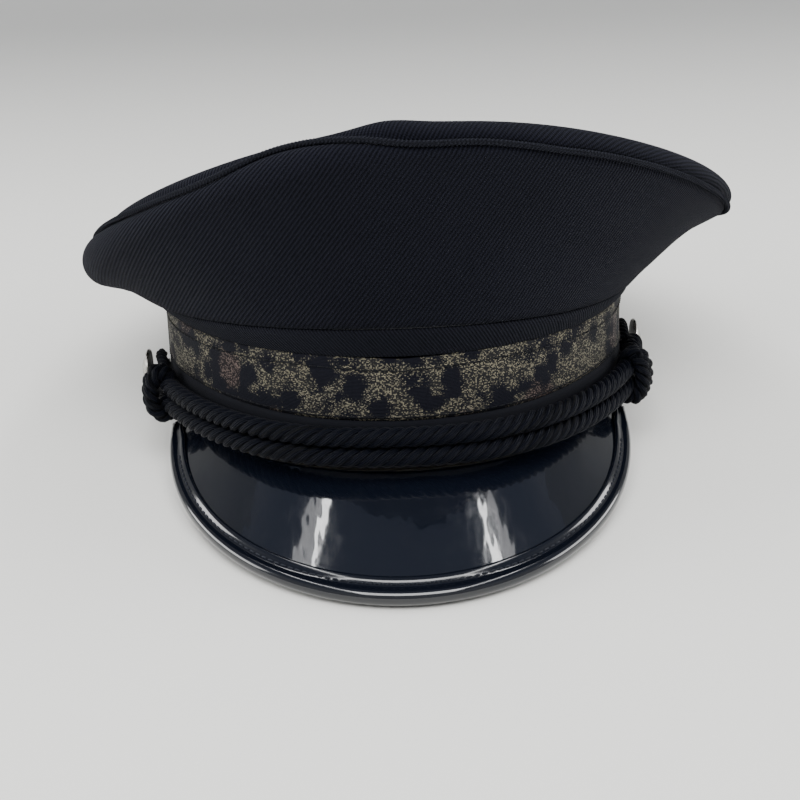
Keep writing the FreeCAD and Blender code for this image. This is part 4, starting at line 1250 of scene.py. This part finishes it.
def build_band():
    layered_ring("band_jacquard", "cap_band", BAND, welt_top_line, band_top_line, 0.0, BAND_CLOTH, 24, 0.12)
    layered_ring("band_welt_strip", "band_lower_welt", WELT, lambda a: 0.05 + 0 * a,
                 lambda a: welt_top_line(a) - 0.1, 0.15, BAND_CLOTH + 0.15, 10, 0.05)
    height = np.linspace(WELT_TOP + 1.5, BAND_TOP - 0.4, 12)
    side_seam = oval(np.full(12, -84.0), 0.05, height)
    points, faces, cloth = tube_mesh(side_seam, 0.32, 8)
    new_piece("band_side_seam", points, faces, CAP, THREAD, None, cloth)
    stitches("band_upper_stitches", band_line(lambda a: band_top_line(a) - 4.2), 2.6, 0.5, 0.22,
             THREAD)
    stitches("band_lower_stitches", band_line(lambda a: welt_top_line(a) + 1.3), 2.6, 0.5, 0.20,
             THREAD)


def build_visor():
    visor_layer("visor_patent_skin", "visor_top_skin", PATENT, VISOR_HALF, VISOR_HALF - 0.8)
    visor_layer("visor_lower_skin", "visor_underside", VISOR_LINING, -VISOR_HALF + 0.8, -VISOR_HALF)
    visor_binding()
    stitches("visor_edge_stitches", visor_stitch_line, 1.9, 0.9, 0.30,
             VISOR_THREAD, (-78, 78), 0.5)


def build_inside():
    layered_ring("sweatband_leather_ring", "sweatband", SWEATBAND, lambda a: 0.3 + 0 * a,
                 lambda a: 36.0 + 0 * a, -5.6, 1.2, 16, 0.25)
    side_lining()
    top_sheet("top_lining_cloth", "lining_top", LINING, 0.88, 3.6, 0.6, 0.7)
    top_sheet("clear_sweat_shield", "sweat_shield", VINYL, 0.5, 4.9, 0.4, 0.2)


NODE_FINISH = {
    "crown_ring_wire": STEEL, "crown_ring_ferrule": STEEL, "crown_front_stay": STEEL,
    "band_stiffener": BUCKRAM,
    "sweatband_tab": TAB, "visor_board": BOARD, "visor_flange": BOARD,
    # The button backs take the dark metal as painted shade: it stands in for the shadow on the buttons'
    # backs, while the shells are pewter.
    "left_eyelet": DARK_METAL, "right_eyelet": DARK_METAL,
    "left_button_back": DARK_METAL, "right_button_back": DARK_METAL,
    "left_button_shank": DARK_METAL, "right_button_shank": DARK_METAL,
    "left_button_clip": DARK_METAL, "right_button_clip": DARK_METAL,
}


def finish_nodes():
    for node, material in NODE_FINISH.items():
        slots = frame["nodes"][node].data.materials
        slots.clear()
        slots.append(material)


# ------------------------------------------------------------------ studio

def studio():
    mesh = bpy.data.meshes.new("studio_floor_sheet")
    depth = 0.75
    lines = [(-3.0, 0.0), (depth, 0.0)]
    for step in range(1, 13):
        way = math.radians(90 * step / 12)
        lines.append((depth + 0.5 * math.sin(way), 0.5 - 0.5 * math.cos(way)))
    lines.append((depth + 0.5, 3.0))
    points = [(x, y, z) for y, z in lines for x in (-3.0, 3.0)]
    faces = [(2 * i, 2 * i + 1, 2 * i + 3, 2 * i + 2) for i in range(len(lines) - 1)]
    mesh.from_pydata(points, [], faces)
    mesh.polygons.foreach_set("use_smooth", [True] * len(faces))
    floor = bpy.data.objects.new("studio_floor", mesh)
    bpy.context.scene.collection.objects.link(floor)
    paper = Nodes("studio_paper_painted_shade")
    # Painted shade: the paper's colour runs from light at the front of the floor to much darker up the back
    # wall, standing in for the light falling off towards the back.
    back = paper.between(paper.dot(paper.place(), (0, 1, 0)), 120, 820)
    tone = paper.mix(back, (0.775, 0.77, 0.735), (0.36, 0.36, 0.352))
    mesh.materials.append(paper.finish(Base_Color=tone, Roughness=0.85))

    def lamp(name, place, target, size, size_y, power):
        light = bpy.data.lights.new(name, "AREA")
        light.shape = "RECTANGLE"
        light.size = size
        light.size_y = size_y
        light.energy = power
        holder = bpy.data.objects.new(name, light)
        holder.location = place
        holder.rotation_euler = (Vector(target) - Vector(place)).to_track_quat("-Z", "Y").to_euler()
        bpy.context.scene.collection.objects.link(holder)

    lamp("front_softbox", (0.0, -0.95, 1.35), (0, 0.0, 0.03), 1.2, 0.8, 33)
    lamp("left_softbox", (-1.5, 0.1, 0.55), (0, 0, 0.03), 1.2, 0.6, 18)
    lamp("right_softbox", (1.5, 0.1, 0.55), (0, 0, 0.03), 1.2, 0.6, 18)
    for name, side, width, power in (("inner", 0.485, 0.045, 5.0), ("outer", 0.56, 0.06, 0.9)):
        lamp("left_" + name + "_strip", (-side, 0.0, 1.2), (-side, 0.0, 0), width, 1.8, power)
        lamp("right_" + name + "_strip", (side, 0.0, 1.2), (side, 0.0, 0), width, 1.8, power)
    world = bpy.data.worlds.new("studio_world")
    world.use_nodes = True
    tree = world.node_tree
    way = tree.nodes.new("ShaderNodeTexCoord")
    split = tree.nodes.new("ShaderNodeSeparateXYZ")
    shade = tree.nodes.new("ShaderNodeValToRGB")
    tree.links.new(way.outputs["Generated"], split.inputs[0])
    tree.links.new(split.outputs["Z"], shade.inputs["Fac"])
    tree.links.new(shade.outputs["Color"], tree.nodes["Background"].inputs["Color"])
    shade.color_ramp.elements[0].position, shade.color_ramp.elements[0].color = 0.45, (0.74, 0.75, 0.77, 1)
    shade.color_ramp.elements[1].position, shade.color_ramp.elements[1].color = 0.82, (0.24, 0.27, 0.34, 1)
    tree.nodes["Background"].inputs["Strength"].default_value = 0.72
    bpy.context.scene.world = world


def camera():
    """The point of view of the reference: a short way in front and above, tipped down."""
    place = Vector((BAND_ORIGIN + np.array([-0.0120, -0.5572, 0.2677])).tolist())
    heading, dip, roll = math.radians(-1.39), math.radians(26.55), math.radians(-1.54)
    level = math.cos(dip)
    forward = Vector((-math.sin(heading) * level, math.cos(heading) * level, -math.sin(dip)))
    right = Vector((math.cos(heading), math.sin(heading), 0))
    up = right.cross(forward)
    rolled_right = math.cos(roll) * right + math.sin(roll) * up
    rolled_up = -math.sin(roll) * right + math.cos(roll) * up
    lens = bpy.data.cameras.new("view")
    lens.lens = 67.5
    lens.sensor_width = 36
    lens.clip_start = 0.01
    holder = bpy.data.objects.new("view", lens)
    turn = Matrix((rolled_right, rolled_up, -forward)).transposed().to_4x4()
    holder.matrix_world = Matrix.Translation(place) @ turn
    bpy.context.scene.collection.objects.link(holder)
    bpy.context.scene.camera = holder


camera()
studio()
chin_ropes()
post_loop("left")
post_loop("right")
slide_knot("left")
slide_knot("right")
build_crown()
build_band()
build_visor()
button("left")
button("right")
build_inside()
finish_nodes()
